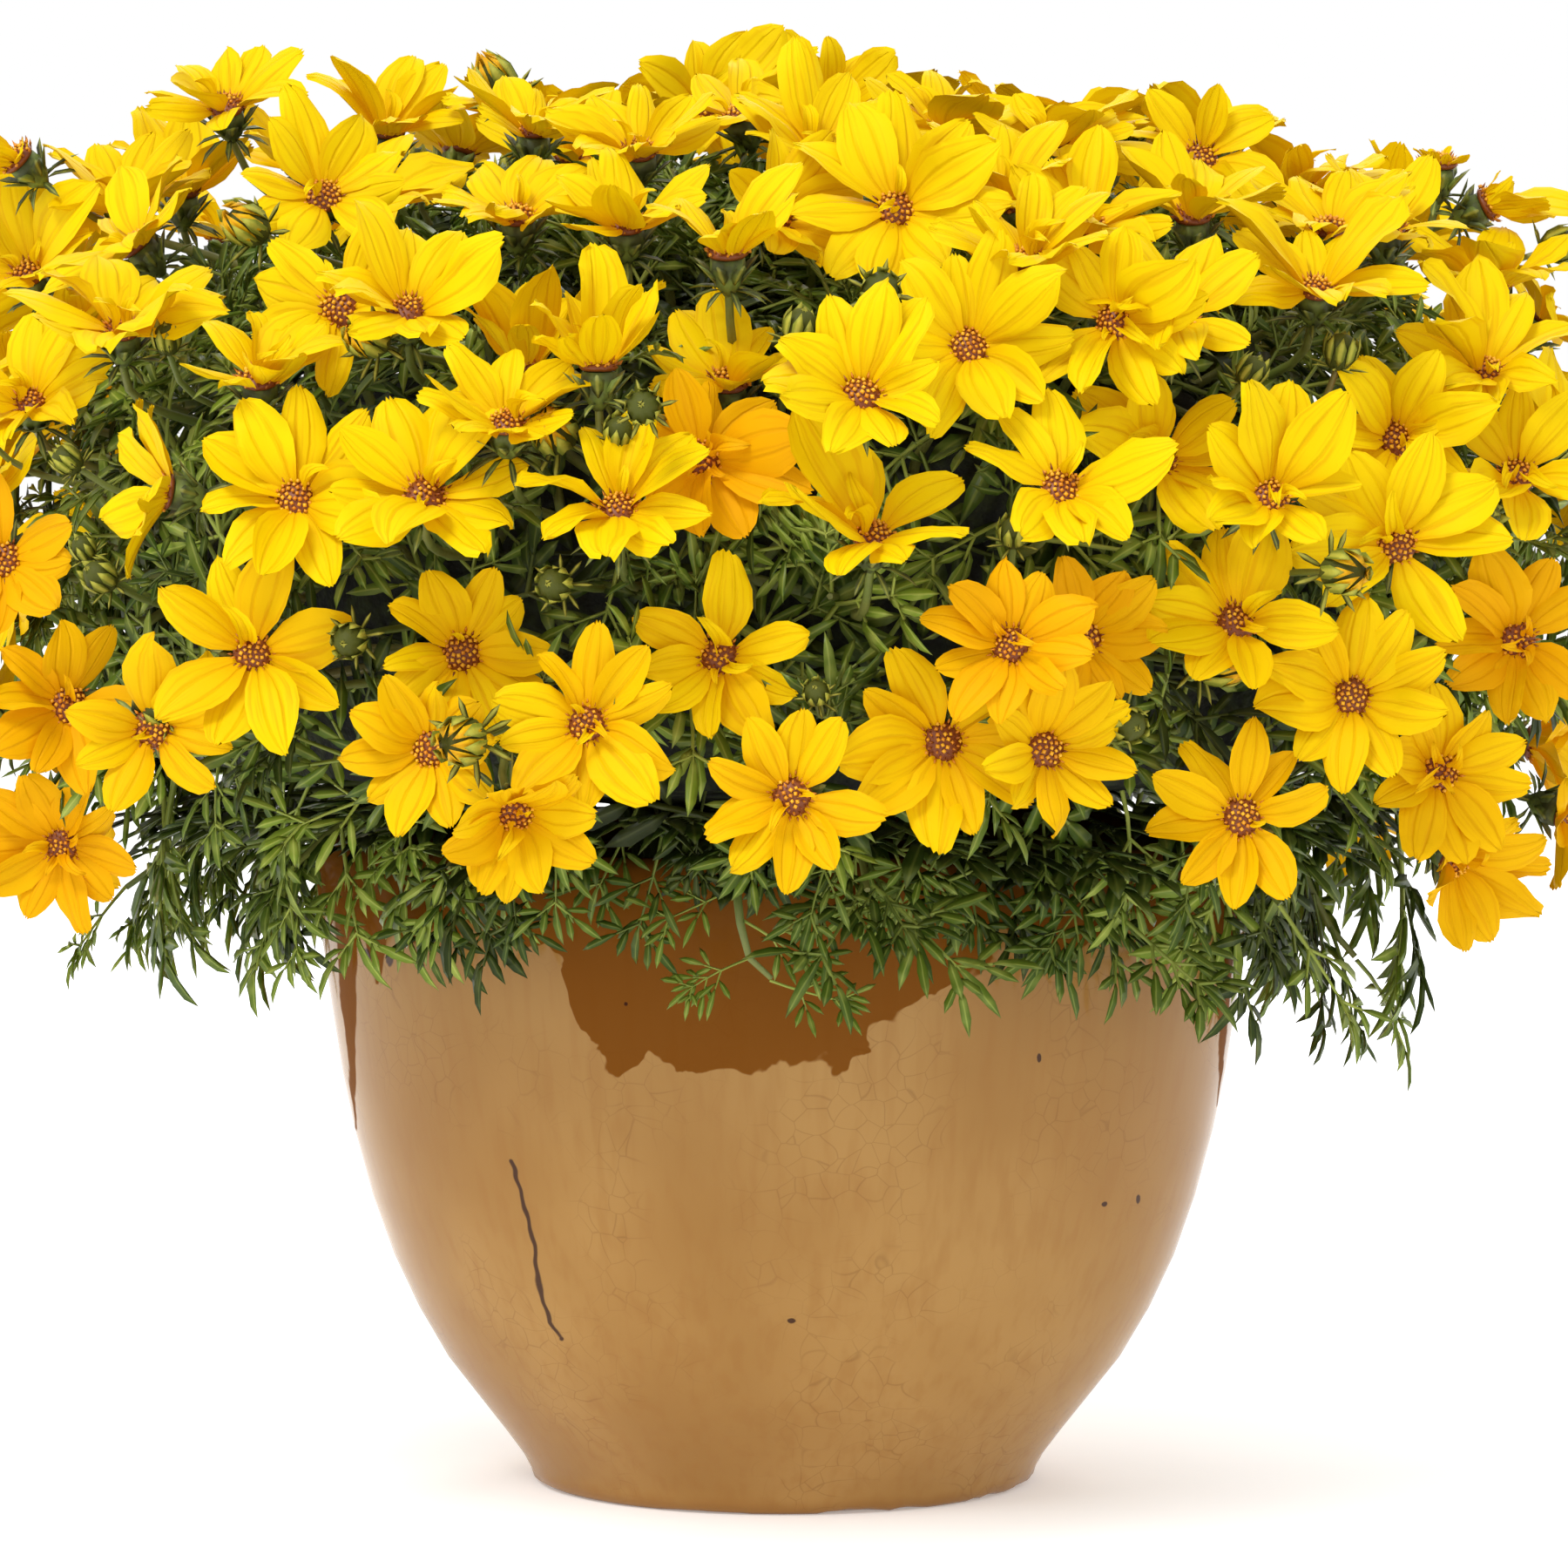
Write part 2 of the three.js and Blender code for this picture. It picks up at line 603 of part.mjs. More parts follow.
// Main stems: from the potting mix up into the middle of each canopy piece
function mainStem({ middle }, grow = 0) {
  const isCrown = middle === undefined;
  const turn = middle ?? 0;
  const radius = isCrown ? 0 : mainStemRing;
  const foot = potHeight - soilDepthBelowRim - mainStemDepth;
  const start = vec(radius * Math.cos(turn), radius * Math.sin(turn), foot);
  const above = start.clone().setZ(potHeight + 6);
  const goal = canopyPoint(isCrown ? 0 : 1.25, turn, 0.5 * canopyThickness);
  const points = [start, above, above.clone().lerp(goal, 0.55).add(vec(0, 0, -6)), goal];
  return tube(points, mainStemRadius + grow, 4, 3);
}

// Builds every spray, each flower shifted or drawn in where it would come too near another
function makeSprays(shell, forks) {
  const random = makeRandom(77);
  const sprays = [];
  for (const fork of forks) {
    const distance = (flower) => flower.place.distanceTo(fork.place);
    const nearestFirst = [...fork.flowers].sort((a, b) => distance(a) - distance(b));
    const bodies = [];
    for (const flower of nearestFirst) {
      const seed = Math.floor(random() * 1e6) + 1;
      const route = bodies.length ? [fork.place] : [fork.place, fork.seat];
      for (const [shift, scale] of flowerTrials) {
        const place = flower.place.clone().addScaledVector(flower.facing, shift);
        const moved = { ...flower, place, radius: flower.radius * scale };
        const behind = place.clone().addScaledVector(flower.facing, -1.5 * calyxDepth);
        const head = flowerSolid(moved, [behind], makeRandom(seed));
        const grown = flowerSolid(moved, route, makeRandom(seed), clearance);
        if (!clearOf(grown, sprays) || !clearOf(head, bodies)) continue;
        bodies.push(boxed(flowerSolid(moved, route, makeRandom(seed))));
        break;
      }
    }
    if (!bodies.length) continue;
    const whole = wasm.Manifold.union(bodies.map((body) => body.solid)).subtract(shell);
    sprays.push(boxed(largestBody(whole.simplify(sliver))));
  }
  return sprays;
}

// Adds the first of the trial shapes that is clear of the obstacles and of the other canopy pieces
function growOn(sectors, root, obstacles, trials, shapeOf) {
  const own = sectors[sectorOf(root)];
  const others = sectors.filter((sector) => sector !== own).flatMap((sector) => sector.solids);
  for (let trial = 0; trial < trials; trial++) {
    const shape = shapeOf(trial);
    const grown = shape(clearance);
    if (!clearOf(grown, obstacles) || !clearOf(grown, others)) continue;
    if (!clearOf(grown, own.solids.slice(1))) continue;
    own.solids.push(boxed(shape(0)));
    return;
  }
}

// Leaves that stand over the whole canopy on a spiral, and lean across it
function addStandingLeaves(sectors, obstacles) {
  const random = makeRandom(5);
  for (let i = 0; i < standingLeaves; i++) {
    const root = canopyPoint(spiralPolar(i, standingLeaves, 0.635), i * goldenAngle, 4);
    const facing = moundNormal(root);
    const scale = 0.92 + 0.2 * random();
    growOn(sectors, root, obstacles, leafTrials, (trial) => {
      const lean = 0.55 + 0.5 * random();
      const across = new THREE.Vector3().crossVectors(facing, vec(0, 0.3, 1)).normalize();
      across.applyAxisAngle(facing, 1.9 * i + 2.1 * trial);
      const towards = facing.clone().addScaledVector(across, lean);
      return (grow) => leafSolid({ root, towards, facing, scale }, grow);
    });
  }
}

// Leaves that hang from the canopy's hem, every other one nearly straight down
function addHangingLeaves(sectors, obstacles) {
  for (let i = 0; i < hangingLeaves; i++) {
    const turn = ((i + 0.5) / hangingLeaves) * fullTurn;
    const facing = vec(Math.cos(turn), Math.sin(turn), 0);
    const root = canopyPoint(canopyHemPolar - 0.03, turn, 0.5 * canopyThickness);
    const [spread, scale] = i % 2 ? [0.1, 0.95] : [0.7, 1.1];
    growOn(sectors, root, obstacles, leafTrials, (trial) => {
      const towards = facing.clone().multiplyScalar(spread).add(vec(0, 0, -1));
      towards.applyAxisAngle(vec(0, 0, 1), trial * (trial % 2 ? 0.25 : -0.25));
      return (grow) => leafSolid({ root, towards, facing, scale }, grow);
    });
  }
}

// Buds stand where the eye sees them, each tried nearer and farther along its line of sight
function addBuds(sectors, obstacles) {
  for (const [across, height, seenThickness] of frontBuds) {
    const { place, sight } = seenOnMound(across, height);
    const thickness = seenThickness * (place.distanceTo(eye) / eye.length());
    const root = canopyUnder(place, 0.5 * canopyThickness);
    growOn(sectors, root, obstacles, budTrials, (trial) => {
      const at = place.clone().addScaledVector(sight, 4 * (((5 * trial) % 12) - 6));
      const lean = vec(Math.cos(2.4 * trial), 0, Math.sin(2.4 * trial)).multiplyScalar(1.6 * trial);
      const foot = canopyUnder(root.clone().add(lean), 0.5 * canopyThickness);
      return (grow) => budSolid(at, foot, thickness, grow);
    });
  }
}

const glaze = new THREE.MeshStandardMaterial({ color: 0xb07c3c, roughness: 0.15, metalness: 0 });
const mix = new THREE.MeshStandardMaterial({ color: 0x3a2a1e, roughness: 0.95, metalness: 0 });
const leafGreen = new THREE.MeshStandardMaterial({ color: 0x3f6b2f, roughness: 0.55, metalness: 0 });
const petalYellow = new THREE.MeshStandardMaterial({ color: 0xffd000, roughness: 0.6, metalness: 0 });

const pottedBidens = new THREE.Group();
const forks = layOutForks(layOutFlowers());
const sprays = makeSprays(canopyShell(clearance), forks);
const pot = boxed(potSolid());
const sectors = stemSectors();
for (const sector of sectors) sector.solids = [boxed(sector.body.add(mainStem(sector)))];
addBuds(sectors, [...sprays, pot]);
addStandingLeaves(sectors, [...sprays, pot]);
addHangingLeaves(sectors, [...sprays, pot]);

pottedBidens.add(namedMesh("pot", pot.solid, glaze));
const stemHoles = sectors.map((sector) => mainStem(sector, clearance));
pottedBidens.add(namedMesh("potting_mix", soilSolid(stemHoles), mix));
for (const { name, solids } of sectors) {
  const whole = wasm.Manifold.union(solids.map(({ solid }) => solid));
  pottedBidens.add(namedMesh(name, largestBody(whole.simplify(sliver)), leafGreen));
}
sprays.forEach(({ solid }, i) => {
  const name = `flower_spray_${String(i + 1).padStart(2, "0")}`;
  pottedBidens.add(namedMesh(name, solid, petalYellow));
});

export default pottedBidens;
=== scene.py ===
import math
import random

import bmesh
import bpy
from mathutils import Matrix, Vector, noise


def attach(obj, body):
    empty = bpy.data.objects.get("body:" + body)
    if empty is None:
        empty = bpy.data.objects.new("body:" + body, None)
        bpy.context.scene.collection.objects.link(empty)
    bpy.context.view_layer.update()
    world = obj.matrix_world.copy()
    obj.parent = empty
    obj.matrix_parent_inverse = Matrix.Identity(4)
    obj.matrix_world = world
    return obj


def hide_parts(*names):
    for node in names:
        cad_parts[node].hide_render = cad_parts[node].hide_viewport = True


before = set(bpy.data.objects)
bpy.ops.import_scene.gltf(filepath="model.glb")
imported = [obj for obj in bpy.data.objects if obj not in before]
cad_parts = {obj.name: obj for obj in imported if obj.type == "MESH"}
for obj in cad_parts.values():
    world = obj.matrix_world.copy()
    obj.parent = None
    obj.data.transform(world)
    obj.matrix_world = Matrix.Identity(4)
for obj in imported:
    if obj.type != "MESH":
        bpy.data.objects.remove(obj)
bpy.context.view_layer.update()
scene = bpy.context.scene
mm = 0.001
goldenAngle = math.pi * (3 - math.sqrt(5))
sprayNames = sorted(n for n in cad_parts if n.startswith("flower_spray"))
stemNames = sorted(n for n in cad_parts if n.startswith("leafy_stem"))


# Node trees: sockets that take part in Python expressions, and a short way to add nodes
class Wire:
    def __init__(self, graph, socket):
        self.graph = graph
        self.socket = socket

    def pick(self, name):  # another output of the same node
        return Wire(self.graph, self.socket.node.outputs[name])

    def maths(self, operation, first, second):
        return self.graph.add("ShaderNodeMath", {"operation": operation}, {0: first, 1: second})

    def __add__(self, other):
        return self.maths("ADD", self, other)

    def __radd__(self, other):
        return self.maths("ADD", other, self)

    def __sub__(self, other):
        return self.maths("SUBTRACT", self, other)

    def __rsub__(self, other):
        return self.maths("SUBTRACT", other, self)

    def __mul__(self, other):
        return self.maths("MULTIPLY", self, other)

    def __rmul__(self, other):
        return self.maths("MULTIPLY", other, self)

    def __truediv__(self, other):
        return self.maths("DIVIDE", self, other)

    def __pow__(self, other):
        return self.maths("POWER", self, other)

    def __abs__(self):
        return self.maths("ABSOLUTE", self, 0)


class Graph:
    def __init__(self, tree):
        self.tree = tree
        self.tree.nodes.clear()

    def add(self, kind, settings=None, sockets=None, out=0):
        node = self.tree.nodes.new(kind)
        for name, value in (settings or {}).items():
            setattr(node, name, value)
        for key, value in (sockets or {}).items():
            if isinstance(value, Wire):
                self.tree.links.new(value.socket, node.inputs[key])
            else:
                node.inputs[key].default_value = value
        return Wire(self, node.outputs[out]) if node.outputs else None

    def mix(self, factor, first, second):  # two colours
        return self.add("ShaderNodeMix", {"data_type": "RGBA"}, {0: factor, 6: first, 7: second}, 2)

    def larger(self, first, second):
        return self.add("ShaderNodeMath", {"operation": "MAXIMUM"}, {0: first, 1: second})

    def step(self, value, low, high):  # 0 below low, 1 above high, smooth between
        sockets = {0: value, 1: low, 2: high}
        return self.add("ShaderNodeMapRange", {"interpolation_type": "SMOOTHSTEP"}, sockets)

    def vector(self, x, y, z):
        return self.add("ShaderNodeCombineXYZ", {}, {0: x, 1: y, 2: z})

    def noise(self, place, scale, detail=2.0, distortion=0.0):
        sockets = {"Vector": place, "Scale": scale, "Detail": detail, "Distortion": distortion}
        return self.add("ShaderNodeTexNoise", {}, sockets)

    def bump(self, height, strength, distance):
        sockets = {"Strength": strength, "Distance": distance, "Height": height}
        return self.add("ShaderNodeBump", {}, sockets)

    def objectPlace(self):
        return self.add("ShaderNodeTexCoord", {}, {}, "Object")

    def attribute(self, name):
        return self.add("ShaderNodeAttribute", {"attribute_name": name}, {}, "Fac")

    def alongAndAcross(self):  # the two directions of the piece's own UV map
        uv = self.add("ShaderNodeUVMap", {"uv_map": "UVMap"})
        along = self.add("ShaderNodeSeparateXYZ", {}, {0: uv})
        return along, along.pick("Y")

    def surface(self, **sockets):
        named = {name.replace("_", " "): value for name, value in sockets.items()}
        shader = self.add("ShaderNodeBsdfPrincipled", {}, named)
        self.add("ShaderNodeOutputMaterial", {}, {"Surface": shader})


def tint(red, green, blue):  # a colour as seen on a screen, 0 to 255
    def linear(c):
        c = c / 255
        return c / 12.92 if c <= 0.04045 else ((c + 0.055) / 1.055) ** 2.4
    return (linear(red), linear(green), linear(blue), 1.0)


def newFinish(name, colours=None):
    material = bpy.data.materials.new(name)
    material.use_nodes = True
    tints = {label: tint(*colour) for label, colour in (colours or {}).items()}
    return material, Graph(material.node_tree), tints


# Meshes and pieces
def meshObject(name, points, faces, uvs=None):
    mesh = bpy.data.meshes.new(name)
    mesh.from_pydata([tuple(p) for p in points], [], faces)
    if uvs:
        layer = mesh.uv_layers.new(name="UVMap")
        for loop in mesh.loops:
            layer.data[loop.index].uv = uvs[loop.vertex_index]
    mesh.shade_smooth()
    mesh.update()
    return bpy.data.objects.new(name, mesh)


def outwardNormals(piece):
    mesh = bmesh.new()
    mesh.from_mesh(piece.data)
    bmesh.ops.recalc_face_normals(mesh, faces=mesh.faces)
    mesh.to_mesh(piece.data)
    mesh.free()
    return piece


def finishPiece(piece, nodes):
    if piece.name not in scene.collection.objects:
        scene.collection.objects.link(piece)
    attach(piece, "root")
    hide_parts(*nodes)
    triangles = sum(len(p.vertices) - 2 for p in piece.data.polygons)
    print(f"{piece.name}: {triangles} triangles")


# Geometry Nodes trees that are used for every repeated shape
def newTree(name, inputs):
    tree = bpy.data.node_groups.new(name, "GeometryNodeTree")
    interface = tree.interface
    interface.new_socket("Geometry", in_out="OUTPUT", socket_type="NodeSocketGeometry")
    sockets = {"Geometry": interface.new_socket("Geometry", in_out="INPUT", socket_type="NodeSocketGeometry")}
    for label, kind in inputs.items():
        sockets[label] = interface.new_socket(label, in_out="INPUT", socket_type=f"NodeSocket{kind}")
    graph = Graph(tree)
    entry = graph.add("NodeGroupInput")
    return tree, graph, entry, {label: s.identifier for label, s in sockets.items()}


def closeTree(graph, entry, geometry):  # every tree ends in Realize Instances and Set Material
    real = graph.add("GeometryNodeRealizeInstances", {}, {0: geometry})
    painted = graph.add("GeometryNodeSetMaterial", {}, {0: real, 2: entry.pick("Material")})
    graph.add("NodeGroupOutput", {}, {0: painted})


def makeScatterTree():
    inputs = {"Shapes": "Collection", "Size": "Float", "Tone Spread": "Float", "Seed": "Int",
              "Join With": "Object", "Material": "Material"}
    tree, graph, entry, names = newTree("scatter_shapes", inputs)

    def stored(name, kind):
        return graph.add("GeometryNodeInputNamedAttribute", {"data_type": kind}, {0: name})

    def scaled(vector, size):
        return graph.add("ShaderNodeVectorMath", {"operation": "SCALE"}, {0: vector, "Scale": size})

    sockets = {0: entry.pick("Shapes"), 1: True, 2: True}
    shapes = graph.add("GeometryNodeCollectionInfo", {}, sockets)
    turn = graph.add("FunctionNodeEulerToRotation", {}, {0: stored("turn", "FLOAT_VECTOR")})
    sockets = {0: entry.pick("Geometry"), 2: shapes, 3: True, 4: stored("kind", "INT"), 5: turn,
               6: scaled(stored("stretch", "FLOAT_VECTOR"), entry.pick("Size"))}
    instances = graph.add("GeometryNodeInstanceOnPoints", {}, sockets)
    spread = entry.pick("Tone Spread")
    drawn = graph.add("FunctionNodeRandomValue", {}, {2: 0 - spread, 3: spread, 8: entry.pick("Seed")}, 1)
    tone = stored("tone", "FLOAT") + drawn
    settings = {"data_type": "FLOAT", "domain": "INSTANCE"}
    toned = graph.add("GeometryNodeStoreNamedAttribute", settings, {0: instances, 2: "tone", 3: tone})
    extra = graph.add("GeometryNodeObjectInfo", {}, {0: entry.pick("Join With")}, "Geometry")
    joined = graph.add("GeometryNodeJoinGeometry", {}, {0: toned})
    graph.tree.links.new(extra.socket, joined.socket.node.inputs[0])
    closeTree(graph, entry, joined)
    return tree, names


def makeTubeTree():
    tree, graph, entry, names = newTree("tubes_on_paths", {"Sides": "Int", "Material": "Material"})
    paths = graph.add("GeometryNodeMeshToCurve", {}, {0: entry.pick("Geometry")})
    outline = graph.add("GeometryNodeCurvePrimitiveCircle", {}, {0: entry.pick("Sides"), 4: 1.0})
    radius = graph.add("GeometryNodeInputNamedAttribute", {"data_type": "FLOAT"}, {0: "radius"})
    tubes = graph.add("GeometryNodeCurveToMesh", {}, {0: paths, 1: outline, 2: radius, 3: True})
    settings = {"data_type": "FLOAT2", "domain": "CORNER"}
    middle = graph.vector(0.5, 0.5, 0.0)
    marked = graph.add("GeometryNodeStoreNamedAttribute", settings, {0: tubes, 2: "UVMap", 3: middle})
    smooth = graph.add("GeometryNodeSetShadeSmooth", {}, {0: marked})
    closeTree(graph, entry, smooth)
    return tree, names


scatterTree, scatterNames = makeScatterTree()
tubeTree, tubeNames = makeTubeTree()


def settledMesh(name, carrier):  # what the carrier's modifier makes, as a plain mesh of its own
    depsgraph = bpy.context.evaluated_depsgraph_get()
    evaluated = carrier.evaluated_get(depsgraph)
    mesh = bpy.data.meshes.new_from_object(evaluated, preserve_all_data_layers=True, depsgraph=depsgraph)
    mesh.name = name
    bpy.data.objects.remove(carrier)
    return bpy.data.objects.new(name, mesh)


def carrierWith(mesh, tree, values):
    carrier = bpy.data.objects.new("carrier", mesh)
    modifier = carrier.modifiers.new("nodes", "NODES")
    modifier.node_group = tree
    for identifier, value in values.items():
        modifier[identifier] = value
    scene.collection.objects.link(carrier)
    return carrier


def scatter(name, rows, shapes, material, size=mm, spread=0.0, seed=1, joinWith=None):
    # rows: (place, 3x3 axes, stretch, kind, tone); places are in the units that size turns to metres
    mesh = bpy.data.meshes.new(name + "_points")
    mesh.from_pydata([tuple(row[0] * size) for row in rows], [], [])
    fields = [("turn", "FLOAT_VECTOR", "vector", [tuple(row[1].to_euler()) for row in rows]),
              ("stretch", "FLOAT_VECTOR", "vector", [tuple(row[2]) for row in rows]),
              ("kind", "INT", "value", [row[3] for row in rows]),
              ("tone", "FLOAT", "value", [row[4] for row in rows])]
    for label, kind, slot, values in fields:
        attribute = mesh.attributes.new(label, kind, "POINT")
        flat = [c for v in values for c in v] if slot == "vector" else values
        attribute.data.foreach_set(slot, flat)
    collection = bpy.data.collections.new(name + "_shapes")
    for shape in shapes:
        collection.objects.link(shape)
    values = {"Shapes": collection, "Size": size, "Tone Spread": spread, "Seed": seed, "Material": material}
    if joinWith:
        values["Join With"] = joinWith
    carrier = carrierWith(mesh, scatterTree, {scatterNames[k]: v for k, v in values.items()})
    made = settledMesh(name, carrier)
    bpy.data.collections.remove(collection)
    return made


def tubes(name, paths, sides, material, size=mm):  # paths: lists of (place, radius)
    points = [p for path in paths for p in path]
    edges = []
    start = 0
    for path in paths:
        edges += [(start + k, start + k + 1) for k in range(len(path) - 1)]
        start += len(path)
    mesh = bpy.data.meshes.new(name + "_paths")
    mesh.from_pydata([tuple(place * size) for place, radius in points], edges, [])
    attribute = mesh.attributes.new("radius", "FLOAT", "POINT")
    attribute.data.foreach_set("value", [radius * size for place, radius in points])
    values = {tubeNames["Sides"]: sides, tubeNames["Material"]: material}
    return settledMesh(name, carrierWith(mesh, tubeTree, values))


def bezier(start, leave, arrive, end, steps):
    places = []
    for k in range(steps + 1):
        t = k / steps
        s = 1 - t
        places.append(s**3 * start + 3 * s * s * t * leave + 3 * s * t * t * arrive + t**3 * end)
    return places


def outAt(turn):
    return Vector((math.cos(turn), math.sin(turn), 0))


def axes(x, y, z):  # the 3x3 matrix with these columns
    return Matrix((x, y, z)).transposed()


def facingAxes(forward, up):  # x forward, z as near to up as it can be
    x = forward.normalized()
    y = up.cross(x).normalized()
    return axes(x, y, x.cross(y))


# Camera at the photograph's viewing angle, and a plain pale floor in soft studio light
cameraView = {
    "eye": (0.0, -1.700, 0.266),
    "target": (0.0, 0.0, 0.1733),
    "fieldOfView": 13.07,  # degrees, over the square frame
}

studio = {
    "floorRadius": 9.0,
    "floorColour": (250, 250, 250),
    "skyStrength": 0.86,
    "exposure": 0.22,
    "floorGlow": 0.22,
    # softboxes: name, place, size, power
    "softboxes": [
        ("key", (-0.8, -1.5, 1.9), 0.8, 30.0),
        ("back", (0.3, 1.8, 1.6), 1.2, 16.0),
    ],
}


def buildCamera():
    data = bpy.data.cameras.new("camera")
    data.lens = data.sensor_width / 2 / math.tan(math.radians(cameraView["fieldOfView"]) / 2)
    camera = bpy.data.objects.new("camera", data)
    camera.location = cameraView["eye"]
    sight = Vector(cameraView["target"]) - Vector(cameraView["eye"])
    camera.rotation_euler = sight.to_track_quat("-Z", "Y").to_euler()
    scene.collection.objects.link(camera)
    scene.camera = camera


def buildStudio():
    scene.view_settings.view_transform = "Standard"
    scene.view_settings.exposure = studio["exposure"]
    world = bpy.data.worlds.new("white_room")
    world.use_nodes = True
    graph = Graph(world.node_tree)
    sky = graph.add("ShaderNodeBackground", {}, {"Color": (1, 1, 1, 1), "Strength": studio["skyStrength"]})
    graph.add("ShaderNodeOutputWorld", {}, {"Surface": sky})
    scene.world = world
    for name, place, size, power in studio["softboxes"]:
        data = bpy.data.lights.new(name, "AREA")
        data.size = size
        data.energy = power
        light = bpy.data.objects.new(name, data)
        light.location = place
        aim = Vector((0, 0, 0.18)) - Vector(place)
        light.rotation_euler = aim.to_track_quat("-Z", "Y").to_euler()
        scene.collection.objects.link(light)
    material, graph, _ = newFinish("pale_floor")
    graph.surface(
        Base_Color=tint(*studio["floorColour"]), Roughness=0.7, Specular_IOR_Level=0.0,
        Emission_Color=(1, 1, 1, 1), Emission_Strength=studio["floorGlow"],
    )
    reach = studio["floorRadius"]
    corners = [(-reach, -reach, 0), (reach, -reach, 0), (reach, reach, 0), (-reach, reach, 0)]
    floor = meshObject("floor", corners, [(0, 1, 2, 3)])
    floor.data.materials.append(material)
    scene.collection.objects.link(floor)


buildCamera()
buildStudio()
print("camera and studio are in place")


# Pot: a bowl turned on a wheel, with a caramel glaze that ends in drips round the foot
pot = {
    # radius and height of the turned section, from the middle of the foot round to the inner base
    "section": [
        (0, 0), (30, 0), (56, 0), (60.5, 0.1), (62.6, 1.2), (63.2, 3.2), (65.2, 7), (69.6, 13), (76.6, 22),
        (84.0, 31.5), (91.3, 44), (97.4, 57), (102.7, 72), (107, 88), (110.1, 103), (112.4, 118),
        (114.6, 134), (115.9, 149), (116.0, 155), (115.4, 159.3), (113.6, 161.7), (111.2, 161.9),
        (108.9, 160.4), (108.0, 157.5), (107.3, 148), (105.5, 130), (102.7, 109), (99, 88), (94.8, 72),
        (89, 57), (82, 43), (74, 31), (65.6, 20), (56, 11.2), (50, 10), (20, 10), (0, 10),
    ],
    "sides": 144,
    "waviness": 0.35,
    "coat": 0.62,  # the clear coat, which is all but gone where the foliage's shade and reflection are painted on the glaze
    "chips": 1.3,
    "drainHoles": 3,
    "drainRadius": 5.0,
    "drainRing": 34.0,
    "colours": {
        "glaze": (151, 109, 54), "pale": (166, 126, 70), "crazing": (104, 66, 28),
        "paintedFoliageShade": (112, 62, 8), "pinhole": (52, 26, 18), "bare": (146, 100, 46),
    },
    # painted shade and reflection of the foliage on the glaze round the rim: its lower edge, and how far it
    # reaches down in the middle, from left to right
    "shadeEdge": 0.141,
    "shadeDip": 0.026,
    "shadeSides": (-0.056, -0.044, 0.012, 0.050),
    # thin strips of painted shade and reflection of the foliage down the sides: across, top, foot, half-width
    "shadeStrips": [
        (-0.1060, 0.150, 0.088, 0.0036), (0.1072, 0.150, 0.094, 0.0030), (-0.0980, 0.150, 0.128, 0.0050),
    ],
    # pits and pinholes in the glaze, as the camera sees them: across, height, half-width, half-height
    "pits": [
        (-104.0, 130.2, 1.3, 2.2), (-98.2, 130.0, 1.1, 2.3), (1.9, 39.0, 1.1, 0.7), (63.6, 104.9, 0.6, 1.2),
        (80.0, 68.3, 0.8, 0.7), (88.4, 69.5, 0.6, 1.3), (-39.4, 118.4, 0.5, 0.5), (62.8, 124.0, 0.7, 0.6),
    ],
    # a crack in the glaze, from its top to its foot: across, height
    "crack": [(-68.2, 79.0), (-66.0, 72.0), (-60.4, 48.0), (-58.6, 38.6), (-56.4, 34.6)],
}


def turnedBowl(section, sides, wobble):
    points = []
    rings = []
    for radius, height in section:
        if radius == 0:
            points.append(Vector((0, 0, height)))
            rings.append([len(points) - 1])
            continue
        ring = []
        for k in range(sides):
            angle = k / sides * 2 * math.pi
            place = Vector((radius * math.cos(angle), radius * math.sin(angle), height))
            points.append(wobble(place, angle))
            ring.append(len(points) - 1)
        rings.append(ring)
    faces = []
    for lower, upper in zip(rings, rings[1:]):
        for k in range(sides):
            n = (k + 1) % sides
            if len(lower) == 1:
                faces.append((lower[0], upper[n], upper[k]))
            elif len(upper) == 1:
                faces.append((lower[k], lower[n], upper[0]))
            else:
                faces.append((lower[k], lower[n], upper[n], upper[k]))
    return points, faces


def glazedSurface(place, angle):
    out = Vector((math.cos(angle), math.sin(angle), 0))
    slow = noise.noise(Vector((place.x, place.y, place.z * 0.6)) / 42)
    place = place + out * slow * pot["waviness"]
    radius = math.hypot(place.x, place.y)
    if place.z < 9 and radius > 58:  # the foot's edge is chipped, most of all at the front right
        side = max(0.0, math.cos(angle - math.radians(-38)))
        ragged = noise.noise(out * 5.2) + 0.6 * noise.noise(out * 13 + Vector((7, 0, 0)))
        lift = pot["chips"] * max(0.0, ragged + 0.25) * (0.25 + side)
        fade = 1 - place.z / 9
        place = place + Vector((0, 0, lift * fade)) + out * fade * (0.5 * ragged)
    return place


